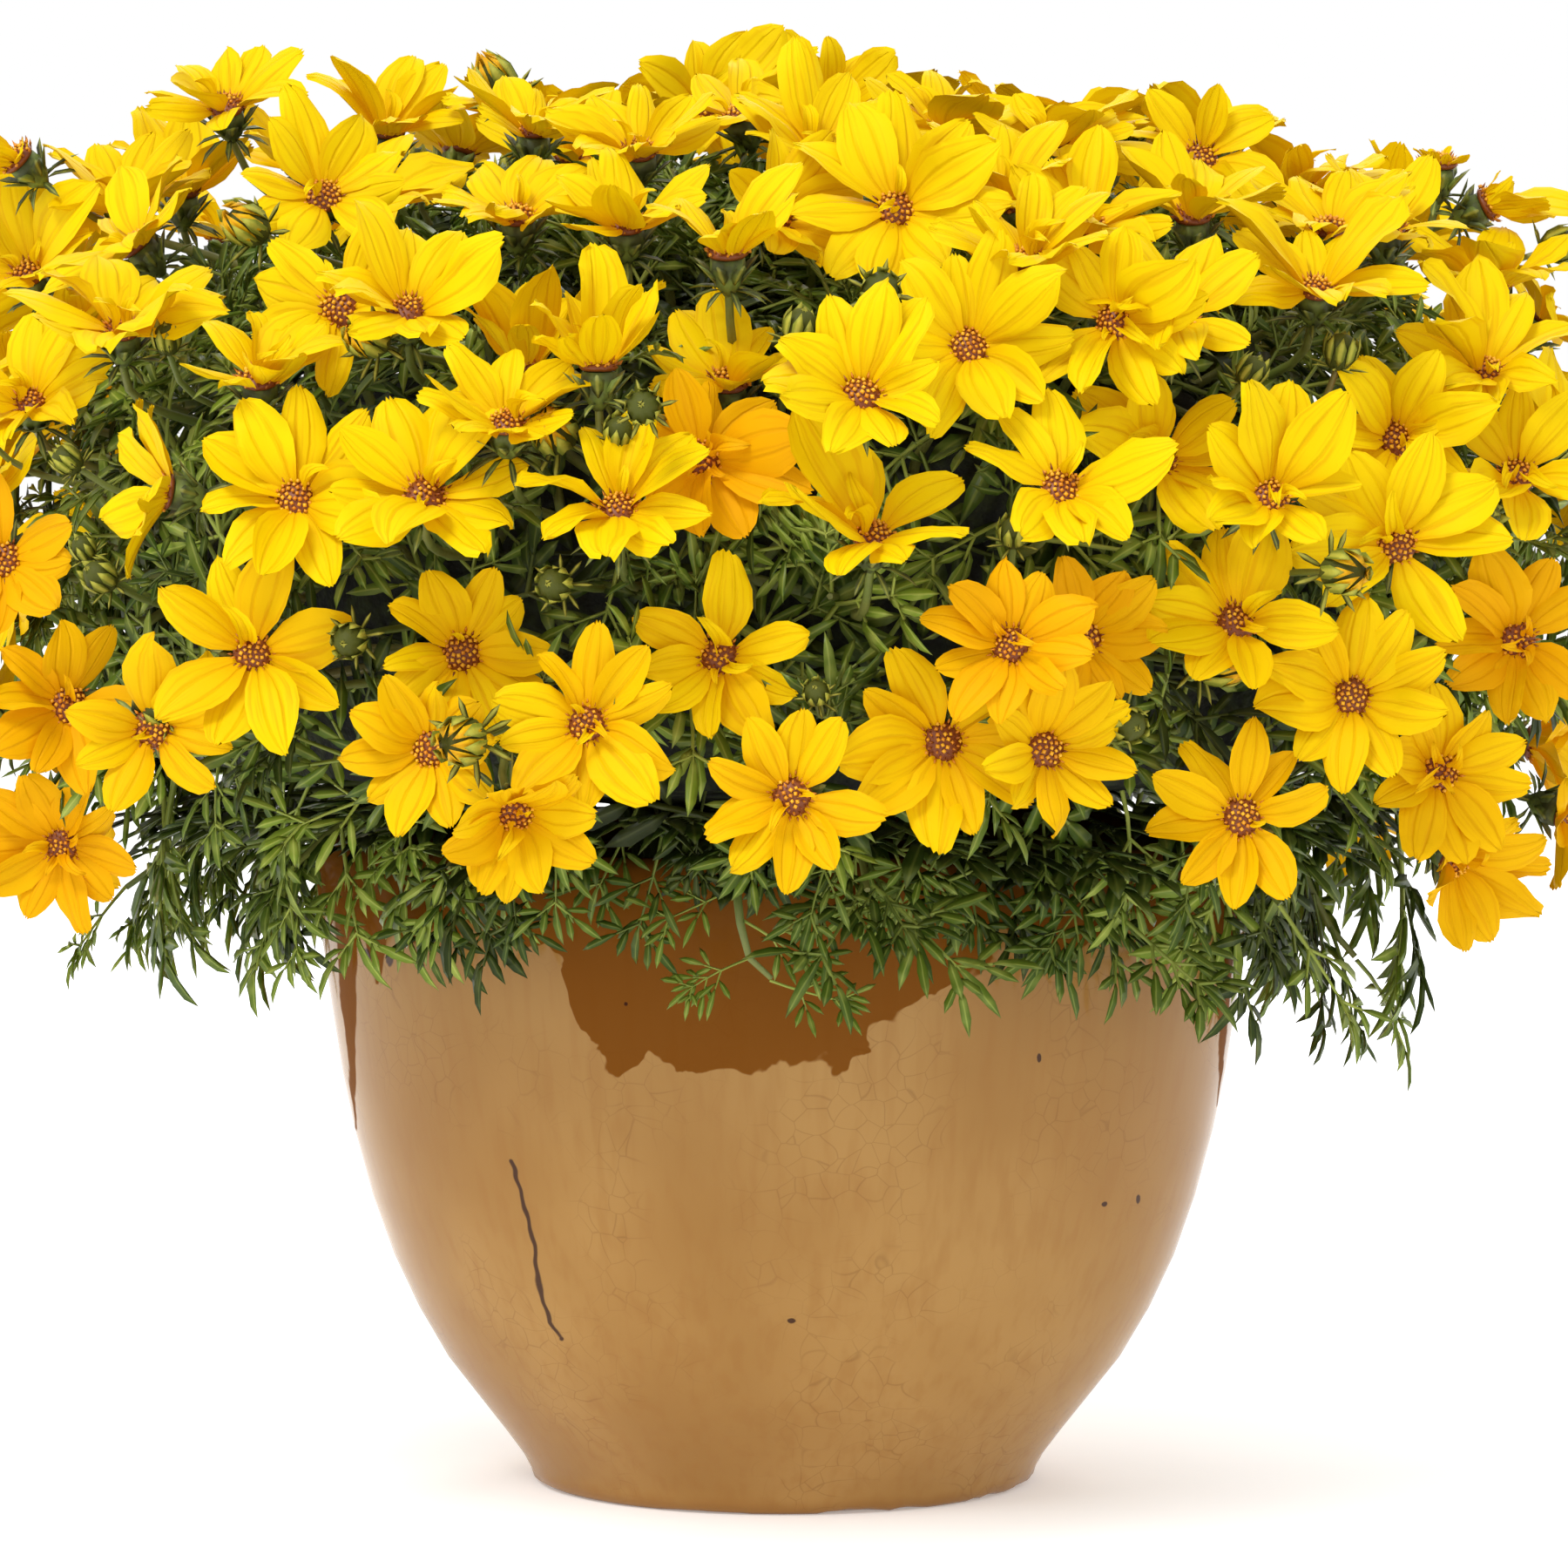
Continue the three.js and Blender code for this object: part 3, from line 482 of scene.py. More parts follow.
def glazeFinish():
    material, graph, colours = newFinish("caramel_glaze", pot["colours"])
    place = graph.objectPlace()
    parts = graph.add("ShaderNodeSeparateXYZ", {}, {0: place})
    across, depth, height = parts, parts.pick("Y"), parts.pick("Z")
    cloud = graph.noise(place, 14.0, 2.0)
    streaks = graph.noise(graph.vector(across * 260, depth * 260, height * 9), 1.0, 2.0)
    colour = graph.mix(graph.step(cloud, 0.35, 0.68), colours["glaze"], colours["pale"])
    colour = graph.mix(graph.step(streaks, 0.42, 0.75) * 0.35, colour, colours["bare"])
    offset = {0: graph.noise(place, 60.0, 1.0).pick("Color"), "Scale": 0.012}
    offset = graph.add("ShaderNodeVectorMath", {"operation": "SCALE"}, offset)
    bent = graph.add("ShaderNodeVectorMath", {"operation": "ADD"}, {0: place, 1: offset})
    cells = {"Vector": bent, "Scale": 170.0}
    cells = graph.add("ShaderNodeTexVoronoi", {"feature": "DISTANCE_TO_EDGE"}, cells)
    crazing = (1 - graph.step(cells, 0.0, 0.035)) * graph.step(graph.noise(place, 30.0), 0.45, 0.62)
    colour = graph.mix(crazing * 0.30, colour, colours["crazing"])
    # painted shade and reflection of the foliage: the glaze above a ragged line round the rim, and in thin
    # strips down the sides, is painted dark brown
    ragged = graph.noise(place, 70.0, 3.0, 0.4)
    left, leftEnd, right, rightEnd = pot["shadeSides"]
    dip = graph.step(across, left, leftEnd) * (1 - graph.step(across, right, rightEnd))
    edge = pot["shadeEdge"] - dip * pot["shadeDip"] + (ragged - 0.5) * 0.026
    paintedFoliageShade = graph.step(height - edge, 0.0, 0.0009)
    for stripAcross, stripTop, stripFoot, halfWidth in pot["shadeStrips"]:
        share = (height - stripFoot) / (stripTop - stripFoot)
        gap = abs(across - stripAcross + (ragged - 0.5) * 0.003) - share * halfWidth
        shadeStrip = (1 - graph.step(gap, 0.0, 0.0005)) * graph.step(share, 0.0, 0.02)
        paintedFoliageShade = graph.larger(paintedFoliageShade, shadeStrip)
    colour = graph.mix(paintedFoliageShade * 0.9, colour, colours["paintedFoliageShade"])
    coat = (1 - paintedFoliageShade * 0.9) * pot["coat"]
    pitMask = 0
    front = graph.step(0 - depth, 0.0, 0.02)
    grain = graph.noise(place, 900.0) * 0.8
    for seenAcross, seenHeight, halfWidth, halfHeight in pot["pits"]:
        spot = onPot(seenAcross, seenHeight)
        dx = (across - spot.x) / (halfWidth * mm)
        dz = (height - spot.z) / (halfHeight * mm)
        far = dx * dx + dz * dz + grain
        pitMask = graph.larger(pitMask, (1 - graph.step(far, 0.9, 1.6)) * front)
    seenCrack = [onPot(x, z) for x, z in pot["crack"]]
    wander = (graph.noise(place, 120.0, 1.0) - 0.5) * 0.004
    for a, b in zip(seenCrack, seenCrack[1:]):
        reach = Vector((b.x - a.x, b.z - a.z))
        along = ((across - a.x) * reach.x + (height - a.z) * reach.y) / reach.length_squared
        held = graph.add("ShaderNodeClamp", {}, {0: along})
        offX = across + wander - a.x - held * reach.x
        offZ = height - a.z - held * reach.y
        gap = (offX * offX + offZ * offZ) ** 0.5
        line = (1 - graph.step(gap, 0.00035, 0.0008)) * front
        pitMask = graph.larger(pitMask, line)
    colour = graph.mix(pitMask * 0.92, colour, colours["pinhole"])
    bareMask = 1 - graph.step(height + graph.noise(place, 70.0) * 0.006, 0.004, 0.008)
    colour = graph.mix(bareMask * 0.6, colour, colours["bare"])
    normal = graph.bump(graph.noise(place, 18.0, 1.0), 0.35, 0.0014)
    roughness = 0.07 + 0.45 * pitMask + 0.35 * bareMask + graph.noise(place, 30.0) * 0.05
    graph.surface(
        Base_Color=colour, Roughness=roughness, Normal=normal, Specular_IOR_Level=0.0,
        Coat_Weight=coat, Coat_Roughness=0.09, Coat_IOR=1.36,
    )
    return material


def onPot(across, height):  # where the camera's ray through a point of the upright plane meets the pot
    eye = Vector(cameraView["eye"])
    ray = (Vector((across * mm, 0, height * mm)) - eye).normalized()
    outer = [(r * mm, z * mm) for r, z in pot["section"][4:20]]
    for k in range(4000):
        spot = eye + ray * (1.55 + k * 0.00005)
        for (r1, z1), (r2, z2) in zip(outer, outer[1:]):
            if z1 <= spot.z < z2:
                radius = r1 + (r2 - r1) * (spot.z - z1) / (z2 - z1)
                if math.hypot(spot.x, spot.y) <= radius:
                    return spot
    return Vector((across * mm, -0.05, height * mm))


def buildPot():
    points, faces = turnedBowl(pot["section"], pot["sides"], glazedSurface)
    bowl = meshObject("pot_glazed", [p * mm for p in points], faces)
    outwardNormals(bowl)
    scene.collection.objects.link(bowl)
    for k in range(pot["drainHoles"]):
        turn = (k + 0.25) / pot["drainHoles"] * 2 * math.pi
        centre = outAt(turn) * pot["drainRing"]
        ends = [(0, -4), (pot["drainRadius"], -4), (pot["drainRadius"], 14), (0, 14)]
        drillPoints, drillFaces = turnedBowl(ends, 24, lambda place, angle: place)
        drill = meshObject("drill", [(p + centre) * mm for p in drillPoints], drillFaces)
        outwardNormals(drill)
        scene.collection.objects.link(drill)
        cut = bowl.modifiers.new("drain", "BOOLEAN")
        cut.operation = "DIFFERENCE"
        cut.object = drill
        depsgraph = bpy.context.evaluated_depsgraph_get()
        made = bpy.data.meshes.new_from_object(bowl.evaluated_get(depsgraph), depsgraph=depsgraph)
        bowl.modifiers.clear()
        bowl.data = made
        bpy.data.objects.remove(drill)
    bowl.data.shade_smooth()
    bowl.data.materials.clear()
    bowl.data.materials.append(glazeFinish())
    finishPiece(bowl, ["pot"])


buildPot()


# The mound's and the canopy's surfaces, as the CAD source lays them out, in mm
mound = {
    "radius": 208.0, "waist": 228.0, "rise": 112.0, "drop": 85.0,
    "riseExponent": 2.5, "dropExponent": 4.0,
    "canopyInset": 38.0, "hem": 166.0, "hemPolar": 1.9, "taper": 10.0,
    "lowestFork": 1.8,
}


def moundValue(place):  # 1 on the surface that the flowers lie on, less within it
    rising = place.z > mound["waist"]
    power = mound["riseExponent"] if rising else mound["dropExponent"]
    height = mound["rise"] if rising else mound["drop"]
    across = math.hypot(place.x, place.y) / mound["radius"]
    return across**power + (abs(place.z - mound["waist"]) / height) ** power


def moundPoint(polar, turn, inset=0.0):
    rising = math.cos(polar) > 0
    power = mound["riseExponent"] if rising else mound["dropExponent"]
    height = (mound["rise"] if rising else mound["drop"]) - inset
    radius = mound["radius"] - inset
    sine, cosine = abs(math.sin(polar)), math.cos(polar)
    reach = ((sine / radius) ** power + (abs(cosine) / height) ** power) ** (-1 / power)
    ring = reach * sine
    return Vector((ring * math.cos(turn), ring * math.sin(turn), mound["waist"] + reach * cosine))


def canopyPoint(polar, turn, depth=0.0):
    inset = mound["canopyInset"] + depth
    if polar < math.pi / 2:
        return moundPoint(polar, turn, inset)
    slope = mound["taper"] / (mound["waist"] - mound["hem"])
    reach = (mound["radius"] - inset) / (math.sin(polar) - slope * math.cos(polar))
    ring = reach * math.sin(polar)
    return Vector((ring * math.cos(turn), ring * math.sin(turn), mound["waist"] + reach * math.cos(polar)))


def polarOf(place):
    return math.atan2(math.hypot(place.x, place.y), place.z - mound["waist"])


def canopyUnder(place, depth=0.0, lowest=None):
    polar = min(lowest or mound["hemPolar"], polarOf(place))
    return canopyPoint(polar, math.atan2(place.y, place.x), depth)


def canopyNormal(polar, turn):
    step = 0.02
    here = canopyPoint(polar, turn)
    down = canopyPoint(polar + step, turn) - here
    around = canopyPoint(polar, turn + step) - here
    if around.length < 1e-6:
        return Vector((0, 0, 1))
    return down.cross(around).normalized()


# Blooms and buds, found in the CAD nodes' own corners so that each stays where its solid is
solids = {
    "discSlope": (4.9, 5.05),  # from a disc's top to its ring's corners, at least and at most
    "discRise": 2.4,
    "budSlope": (6.0, 13.0),
    "shortPetal": 8.0, "petalReach": 20.0, "petalRise": 8.0,
    "grain": 200,  # corners that are closer than a mm over this are one
}


def weldedCorners(node):
    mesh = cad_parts[node].data
    places, numberOf, welded = [], {}, []
    for vertex in mesh.vertices:
        key = tuple(round(c / mm * solids["grain"]) for c in vertex.co)
        if key not in numberOf:
            numberOf[key] = len(places)
            places.append(Vector(vertex.co) / mm)
        welded.append(numberOf[key])
    neighbours = [set() for _ in places]
    for edge in mesh.edges:
        a, b = (welded[v] for v in edge.vertices)
        if a != b:
            neighbours[a].add(b)
            neighbours[b].add(a)
    return places, neighbours


def domes(places, neighbours, low, high):  # tops of discs and buds: a corner in a ring of equally far ones
    for top, near in enumerate(neighbours):
        far = {n: (places[n] - places[top]).length for n in near}
        for first in near:
            ring = [n for n in near if abs(far[n] - far[first]) < 0.03]
            if low < far[first] < high and len(ring) >= 5:
                yield top, ring
                break


def headFrame(places, top, ring):  # middle of the ring, the way it faces, and the ring in turning order
    middle = sum((places[n] for n in ring), Vector()) / len(ring)
    facing = (places[top] - middle).normalized()
    side = (places[ring[0]] - middle).normalized()
    other = facing.cross(side)

    def angle(n):
        return math.atan2((places[n] - middle).dot(other), (places[n] - middle).dot(side))
    return middle, facing, sorted(ring, key=angle)


def readBlooms():
    found = []
    for spray, node in enumerate(sprayNames):
        places, neighbours = weldedCorners(node)
        for top, ring in domes(places, neighbours, *solids["discSlope"]):
            middle, facing, ring = headFrame(places, top, ring)
            centre = places[top] - solids["discRise"] * facing
            tips = []
            for a, b in zip(ring, ring[1:] + ring[:1]):
                shoulders = (neighbours[a] & neighbours[b]) - {top}
                near = [places[n] for s in shoulders for n in neighbours[s] | {s}] + [centre]
                tip = max(near, key=lambda place: (place - centre).length)
                if (tip - centre).length < solids["shortPetal"]:  # cut off, so its direction alone is used
                    out = (places[a] + places[b] - 2 * middle).normalized()
                    tip = centre + solids["petalReach"] * out + solids["petalRise"] * facing
                tips.append(tip)
            found.append({"spray": spray, "centre": centre, "facing": facing, "tips": tips})
    return found


def readBuds():
    found = []
    for node in stemNames:
        places, neighbours = weldedCorners(node)
        for top, ring in domes(places, neighbours, *solids["budSlope"]):
            middle, facing, ring = headFrame(places, top, ring)
            half = (places[ring[0]] - middle).length
            found.append({"centre": middle, "facing": facing, "half": half})
    return found


blooms = readBlooms()
buds = readBuds()
print(f"{len(blooms)} blooms with {sum(len(b['tips']) for b in blooms)} petals, and {len(buds)} buds")


# Where the camera's sight lines meet the mound, and how deep a place lies in it
def seenFromFront(place):  # across and height on the upright plane through the pot's axis
    eye = Vector(cameraView["eye"]) / mm
    share = -eye.y / (place.y - eye.y)
    seen = eye + (place - eye) * share
    return seen.x, seen.z


def seenOnMound(across, height, limit=0.97):
    eye = Vector(cameraView["eye"]) / mm
    ray = (Vector((across, 0, height)) - eye).normalized()
    for k in range(400):
        place = eye + ray * (1450 + k)
        if moundValue(place) < limit:
            return place
    return Vector((across, 0, height))  # a sight line that only grazes the mound


def insetOf(place):
    middle = Vector((0, 0, mound["waist"]))
    surface = moundPoint(polarOf(place), math.atan2(place.y, place.x))
    return (surface - middle).length - (place - middle).length


def mostlyUp(draw, axis, spread, lift):
    lean = Vector((draw.uniform(-spread, spread), draw.uniform(-spread, spread), draw.uniform(0, lift)))
    return (axis + lean).normalized()


# More flowers on the sides, the back and the top, in the gaps that the solids leave
fill = {
    "tries": 200, "coverage": 1.22, "spacing": 30.2, "front": -70.0,
    "petals": (6, 7, 8), "reach": (19.0, 23.0), "inset": (3.0, 14.0),
}


def addedBlooms():
    draw = random.Random(29)
    added = []
    for i in range(fill["tries"]):
        polar = math.acos(1 - fill["coverage"] * (i + 0.5) / fill["tries"])
        turn = i * goldenAngle
        centre = moundPoint(polar, turn, draw.uniform(*fill["inset"]))
        nearest = min(blooms + added, key=lambda bloom: (bloom["centre"] - centre).length)
        if centre.y < fill["front"] or (nearest["centre"] - centre).length < fill["spacing"]:
            continue
        facing = mostlyUp(draw, canopyNormal(polar, turn), 0.3, 0.7)
        side = facing.orthogonal().normalized()
        count = draw.choice(fill["petals"])
        tips = []
        for k in range(count):
            out = Matrix.Rotation((k + draw.uniform(-0.15, 0.15)) / count * 2 * math.pi, 3, facing) @ side
            tips.append(centre + (out + facing * draw.uniform(0.0, 0.35)) * draw.uniform(*fill["reach"]))
        added.append({"spray": nearest["spray"], "centre": centre, "facing": facing, "tips": tips})
    return added


blooms += addedBlooms()
print(f"{len(blooms)} blooms with those that are added")


# Unit shapes: a petal and a leaf's lobe, each along +X with its face up, as thin closed blades
petal = {
    "rows": [0, 0.11, 0.26, 0.43, 0.60, 0.76, 0.90, 1.0],
    "halfWidths": [0.05, 0.112, 0.198, 0.244, 0.246, 0.202, 0.128, 0.050],
    "columns": 6,
    "thickness": 0.02,
    "kinds": 12,
    "innerKinds": 3,
    # ranges that each kind draws from
    "arch": (0.0, 0.14), "cup": (-0.45, 0.75), "groove": (0.02, 0.042), "ruffle": (0.0, 0.09),
    "fold": (-0.7, 0.7), "twist": (-0.8, 0.8), "bend": (-0.14, 0.14), "teeth": (0.02, 0.06),
    "reflex": (-0.2, 0.45),
    "colours": {"lemon": (204, 182, 0), "golden": (200, 158, 0), "orange": (200, 147, 0),
                "veinAndGrooveShade": (168, 104, 0), "base": (196, 138, 0), "glow": (240, 160, 8)},
    "glow": 0.19,
}

lobe = {
    "rows": [0.22, 0.52, 0.80],
    "halfWidths": [0.26, 0.5, 0.38],
    "thickness": 0.02,
    "fold": 0.06,
    "bends": [0.10, 0.30, -0.08, 0.45],
}


def petalShape(name, form):
    rows, halfWidths = petal["rows"], petal["halfWidths"]
    columns = petal["columns"]
    last = len(rows) - 1
    points, uvs, faces, top, under = [], [], [], {}, {}
    for i, u in enumerate(rows):
        for j in range(columns + 1):
            v = 2 * j / columns - 1
            half = halfWidths[i] * form["width"]
            arc = math.sin(math.pi * min(1.0, 0.15 + 0.85 * u))
            x = u
            if i == last:
                x -= form["teeth"] * (1 if j % 2 else 0.2) + 0.03 * abs(v) ** 3
            y = v * half
            z = form["cup"] * half * v * v * arc + form["arch"] * 4 * u * (1 - u)
            z -= form["reflex"] * max(0.0, u - 0.55) ** 2
            z -= form["groove"] * (1 - abs(abs(v) * 3 - 1)) * arc if abs(v) < 0.67 else 0
            z += form["ruffle"] * math.sin(9 * u + form["phase"] + 2.2 * v) * abs(v) * u
            if v * form["fold"] > 0:
                lift = abs(form["fold"]) * arc
                z += abs(y) * math.sin(lift)
                y *= math.cos(lift)
            turn = form["twist"] * u * u
            y, z = y * math.cos(turn) - z * math.sin(turn), y * math.sin(turn) + z * math.cos(turn)
            y += form["bend"] * u * u
            edge = i in (0, last) or j in (0, columns)
            thick = 0 if edge else petal["thickness"] / 2
            top[i, j] = len(points)
            points.append((x, y, z + thick))
            uvs.append((u, j / columns))
            under[i, j] = top[i, j]
            if not edge:
                under[i, j] = len(points)
                points.append((x, y, z - thick))
                uvs.append((u, j / columns))
    for i in range(last):
        for j in range(columns):
            corners = [(i, j), (i + 1, j), (i + 1, j + 1), (i, j + 1)]
            faces.append([top[c] for c in corners])
            faces.append([under[c] for c in reversed(corners)])
    made = meshObject(name, points, faces, uvs)
    rim = {n for c, n in top.items() if under[c] == n}
    for edge in made.data.edges:  # its rim is sharp, so that neither side is shaded round it
        edge.use_edge_sharp = rim.issuperset(edge.vertices)
    return made


def petalShapes():
    draw = random.Random(11)
    shapes = []
    for k in range(petal["kinds"] + petal["innerKinds"]):
        names = ("arch", "cup", "groove", "ruffle", "fold", "twist", "bend", "teeth", "reflex")
        form = {name: draw.uniform(*petal[name]) for name in names}
        form["fold"] = form["fold"] if k % 3 == 0 else 0
        form["phase"] = draw.uniform(0, 6)
        form["width"] = draw.uniform(0.92, 1.12)
        if k >= petal["kinds"]:
            form.update(width=0.75, cup=1.3, fold=0, arch=0.2, reflex=0.9)
        shapes.append(petalShape(f"petal_{k:02d}", form))
    return shapes


def lobeShape(name, bend, rows=3):
    stations = list(zip(lobe["rows"], lobe["halfWidths"]))
    if rows == 2:
        stations = [(0.32, 0.38), (0.70, 0.46)]

    def drop(x):
        return -bend * x * x
    points, uvs = [(0, 0, 0)], [(0, 0.5)]
    for x, half in stations:
        z = drop(x)
        points += [(x, -half, z + lobe["fold"]), (x, 0, z + lobe["thickness"]),
                   (x, half, z + lobe["fold"]), (x, 0, z - lobe["thickness"])]
        uvs += [(x, 0), (x, 0.5), (x, 1), (x, 0.5)]
    points.append((1, 0, drop(1)))
    uvs.append((1, 0.5))
    tip = len(points) - 1
    faces = []
    for k in range(4):
        n = (k + 1) % 4
        faces.append((0, 1 + n, 1 + k))
        for s in range(len(stations) - 1):
            a = 1 + 4 * s
            faces.append((a + k, a + n, a + 4 + n, a + 4 + k))
        a = tip - 4
        faces.append((a + k, a + n, tip))
    return outwardNormals(meshObject(name, points, faces, uvs))


# Petals: every bloom's own, with some more between them and a few small ones round the disc
bloomLook = {
    "hub": 2.7,
    "high": 235.0,  # flowers over this height have more upright petals
    "grow": (1.07, 1.2),  # a petal's reach over its solid's, low and high on the mound, and the least reach
    "leastReach": (21.0, 24.0),
    "betweenShare": 0.84,
    "betweenLength": (0.86, 1.06),
    "innerShare": 0.34,
    "innerLength": (0.32, 0.58),
    "roll": 0.42,
    "widths": (0.92, 1.24),
    "opens": (0.4, 1.0),  # how much of a high petal's rise is kept
    # the outline of the highest petals, as the camera sees it: across, height
    "skyline": [
        (-230, 300), (-195, 325), (-178, 342), (-140, 356), (-100, 356), (-48, 343), (-17, 362), (13, 358),
        (48, 347), (74, 338), (100, 351), (126, 338), (150, 332), (175, 328), (195, 312), (230, 290),
    ],
    "orange": [(74, 210), (182, 208), (-181, 158), (-178, 192), (-194, 229), (-20, 254), (57, 207)],
}


def bloomTone(bloom):  # 1 is lemon yellow, 0 golden orange: painted light, so that flowers high on the mound are lemon and those low on it the more orange
    across, height = seenFromFront(bloom["centre"])
    near = min(math.hypot(across - a, height - h) for a, h in bloomLook["orange"])
    if near < 9 and bloom["centre"].y < 0:
        return 0.1
    # painted light: apart from the orange flowers, the higher a flower sits, the lighter lemon it is painted,
    # as if lit more from above
    return min(1.0, max(0.3, 0.36 + (bloom["centre"].z - 170) / 140))


def underSkyline(tip, centre):  # a petal's tip, lowered where it would stand out of the outline
    across, height = seenFromFront(tip)
    for (a, low), (b, high) in zip(bloomLook["skyline"], bloomLook["skyline"][1:]):
        if a <= across < b:
            over = height - low - (high - low) * (across - a) / (b - a)
            tip.z -= min(max(0.0, over), max(0.0, tip.z - centre.z) * 0.8)
    return tip


def petalRows(draw, bloom):
    centre, facing = bloom["centre"], bloom["facing"]
    tone = bloomTone(bloom)
    look = bloomLook
    rows = []

    def row(tip, lift, kind, width):
        tip = underSkyline(tip, centre)
        flat = tip - centre
        flat -= flat.dot(facing) * facing
        base = centre + look["hub"] * flat.normalized() + lift * facing
        forward = tip - base
        roll = Matrix.Rotation(draw.uniform(-look["roll"], look["roll"]), 3, forward.normalized())
        length = forward.length
        stretch = (length, length * width, length * draw.choice((1, 1, 1, 0.6)))
        shade = min(1.0, max(0.0, tone + draw.uniform(-0.14, 0.14)))
        rows.append((base, facingAxes(forward, roll @ facing), stretch, kind, shade))

    reach = sum((tip - centre).length for tip in bloom["tips"]) / len(bloom["tips"])
    isHigh = centre.z > look["high"]
    grow = max(look["grow"][isHigh], look["leastReach"][isHigh] / reach)
    tips = [centre + (tip - centre) * grow * draw.uniform(0.93, 1.07) for tip in bloom["tips"]]
    if isHigh:
        rises = [(tip - centre).dot(facing) * (1 - draw.uniform(*look["opens"])) for tip in tips]
        tips = [tip - facing * rise for tip, rise in zip(tips, rises)]
    for tip, other in zip(tips, tips[1:] + tips[:1]):
        row(tip.copy(), 0.1, draw.randrange(petal["kinds"]), draw.uniform(*look["widths"]))
        between = (tip + other) / 2 - centre
        reach = ((tip - centre).length + (other - centre).length) / 2
        if draw.random() < look["betweenShare"]:
            out = between.normalized() * reach * draw.uniform(*look["betweenLength"])
            rises = isHigh and draw.random() < 0.4
            out += facing * reach * (draw.uniform(0.1, 0.45) if rises else draw.uniform(-0.2, 0.02))
            kind = draw.randrange(petal["kinds"])
            row(centre + out, 0.6 if rises else -0.7, kind, draw.uniform(*look["widths"]))
        if draw.random() < look["innerShare"]:
            out = between.normalized() + facing * draw.uniform(0.3, 1.2)
            out = out.normalized() * reach * draw.uniform(*look["innerLength"])
            row(centre + out, 0.6, petal["kinds"] + draw.randrange(petal["innerKinds"]), 0.95)
    return rows


def petalFinish():
    material, graph, colours = newFinish("petal_yellow", petal["colours"])
    material.cycles.emission_sampling = "NONE"  # the glow is light that comes through the petals
    along, across = graph.alongAndAcross()
    tone = graph.attribute("tone")
    veins = graph.noise(graph.vector(along * 1.4, across * 13, tone * 37), 1.0, 1.0)
    colour = graph.mix(graph.step(tone, 0.0, 0.3), colours["orange"], colours["golden"])
    colour = graph.mix(graph.step(tone, 0.25, 0.9), colour, colours["lemon"])
    colour = graph.mix(graph.step(veins, 0.48, 0.76) * 0.36, colour, colours["veinAndGrooveShade"])
    # painted shade: the petal's two grooves are painted darker along their length, most towards its base; the
    # same colour tints the veins
    fold = 1 - graph.step(abs(abs(across - 0.5) - 0.167), 0.0, 0.05)
    colour = graph.mix(fold * (1.1 - along) * 0.30, colour, colours["veinAndGrooveShade"])
    colour = graph.mix((1 - graph.step(along, 0.0, 0.42)) * 0.45, colour, colours["base"])
    graph.surface(
        Base_Color=colour, Roughness=0.6, Normal=graph.bump(1 - fold, 0.5, 0.0006), Specular_IOR_Level=0.06,
        Emission_Color=colours["glow"], Emission_Strength=petal["glow"],
    )
    return material


def buildPetals():
    draw = random.Random(3)
    rowsOf = [petalRows(draw, bloom) for bloom in blooms]
    material = petalFinish()
    half = len(sprayNames) // 2
    parts = [(0, half, "petals_low"), (half, len(sprayNames), "petals_high")]
    for first, last, name in parts:
        rows = [r for b, rows in zip(blooms, rowsOf) if first <= b["spray"] < last for r in rows]
        piece = scatter(name, rows, petalShapes(), material)
        finishPiece(piece, sprayNames[first:last])


buildPetals()


# Discs: a low dome of florets in a spiral, with dark anthers round the edge, and a calyx behind
disc = {
    "radius": 4.7, "rise": 2.2, "florets": 54, "bead": 0.56,
    "colours": {"deep": (124, 58, 2), "warm": (212, 132, 14), "gold": (248, 188, 36)},
}

calyx = {
    "outerBracts": 8, "outerLength": 8.5, "outerWidth": 1.7,
    "innerBracts": 8, "innerLength": 8.0, "innerWidth": 3.4,
    "colours": {"green": (112, 128, 48), "stripe": (168, 166, 72), "dark": (62, 70, 26)},
}


def turnedShape(name, sides, profile):  # a tiny closed turned body of a few faces, standing on +Z
    points, faces = turnedBowl(profile, sides, lambda place, angle: place)
    return outwardNormals(meshObject(name, points, faces))


def discShape(name, openShare, seed):
    draw = random.Random(seed)
    half = disc["bead"]
    bead = turnedShape("floret_0", 4, [(0, -0.2), (half, 0.45), (0, 1.0)])
    anther = turnedShape("floret_1", 4, [(0, -0.2), (0.32, 0.7), (0, 1.9)])
    rows = []
    for k in range(disc["florets"]):
        share = math.sqrt((k + 0.5) / disc["florets"])
        turn = k * goldenAngle
        radius = disc["radius"] * share
        out = outAt(turn)
        height = disc["rise"] * (1 - share * share)
        up = (Vector((0, 0, 1)) + out * share * 0.9).normalized()
        isOpen = share > openShare and draw.random() < 0.8
        lean = up + out * draw.uniform(-0.1, 0.4) if isOpen else up
        size = draw.uniform(0.9, 1.15)
        tone = draw.uniform(0.0, 0.6) if isOpen else draw.uniform(0.55, 1.0)
        z = lean.normalized()
        x = out.cross(z).normalized()
        rows.append((out * radius + Vector((0, 0, height - 0.1)), axes(x, z.cross(x), z), (size,) * 3,
                     1 if isOpen else 0, tone))
    profile = [(0, -0.9), (3.9, -0.9), (4.6, -0.2), (4.1, 0.6), (2.4, 1.6), (0, 2.0)]
    dome = turnedShape("dome", 12, profile)
    return scatter(name, rows, [bead, anther], None, size=1.0, joinWith=dome)


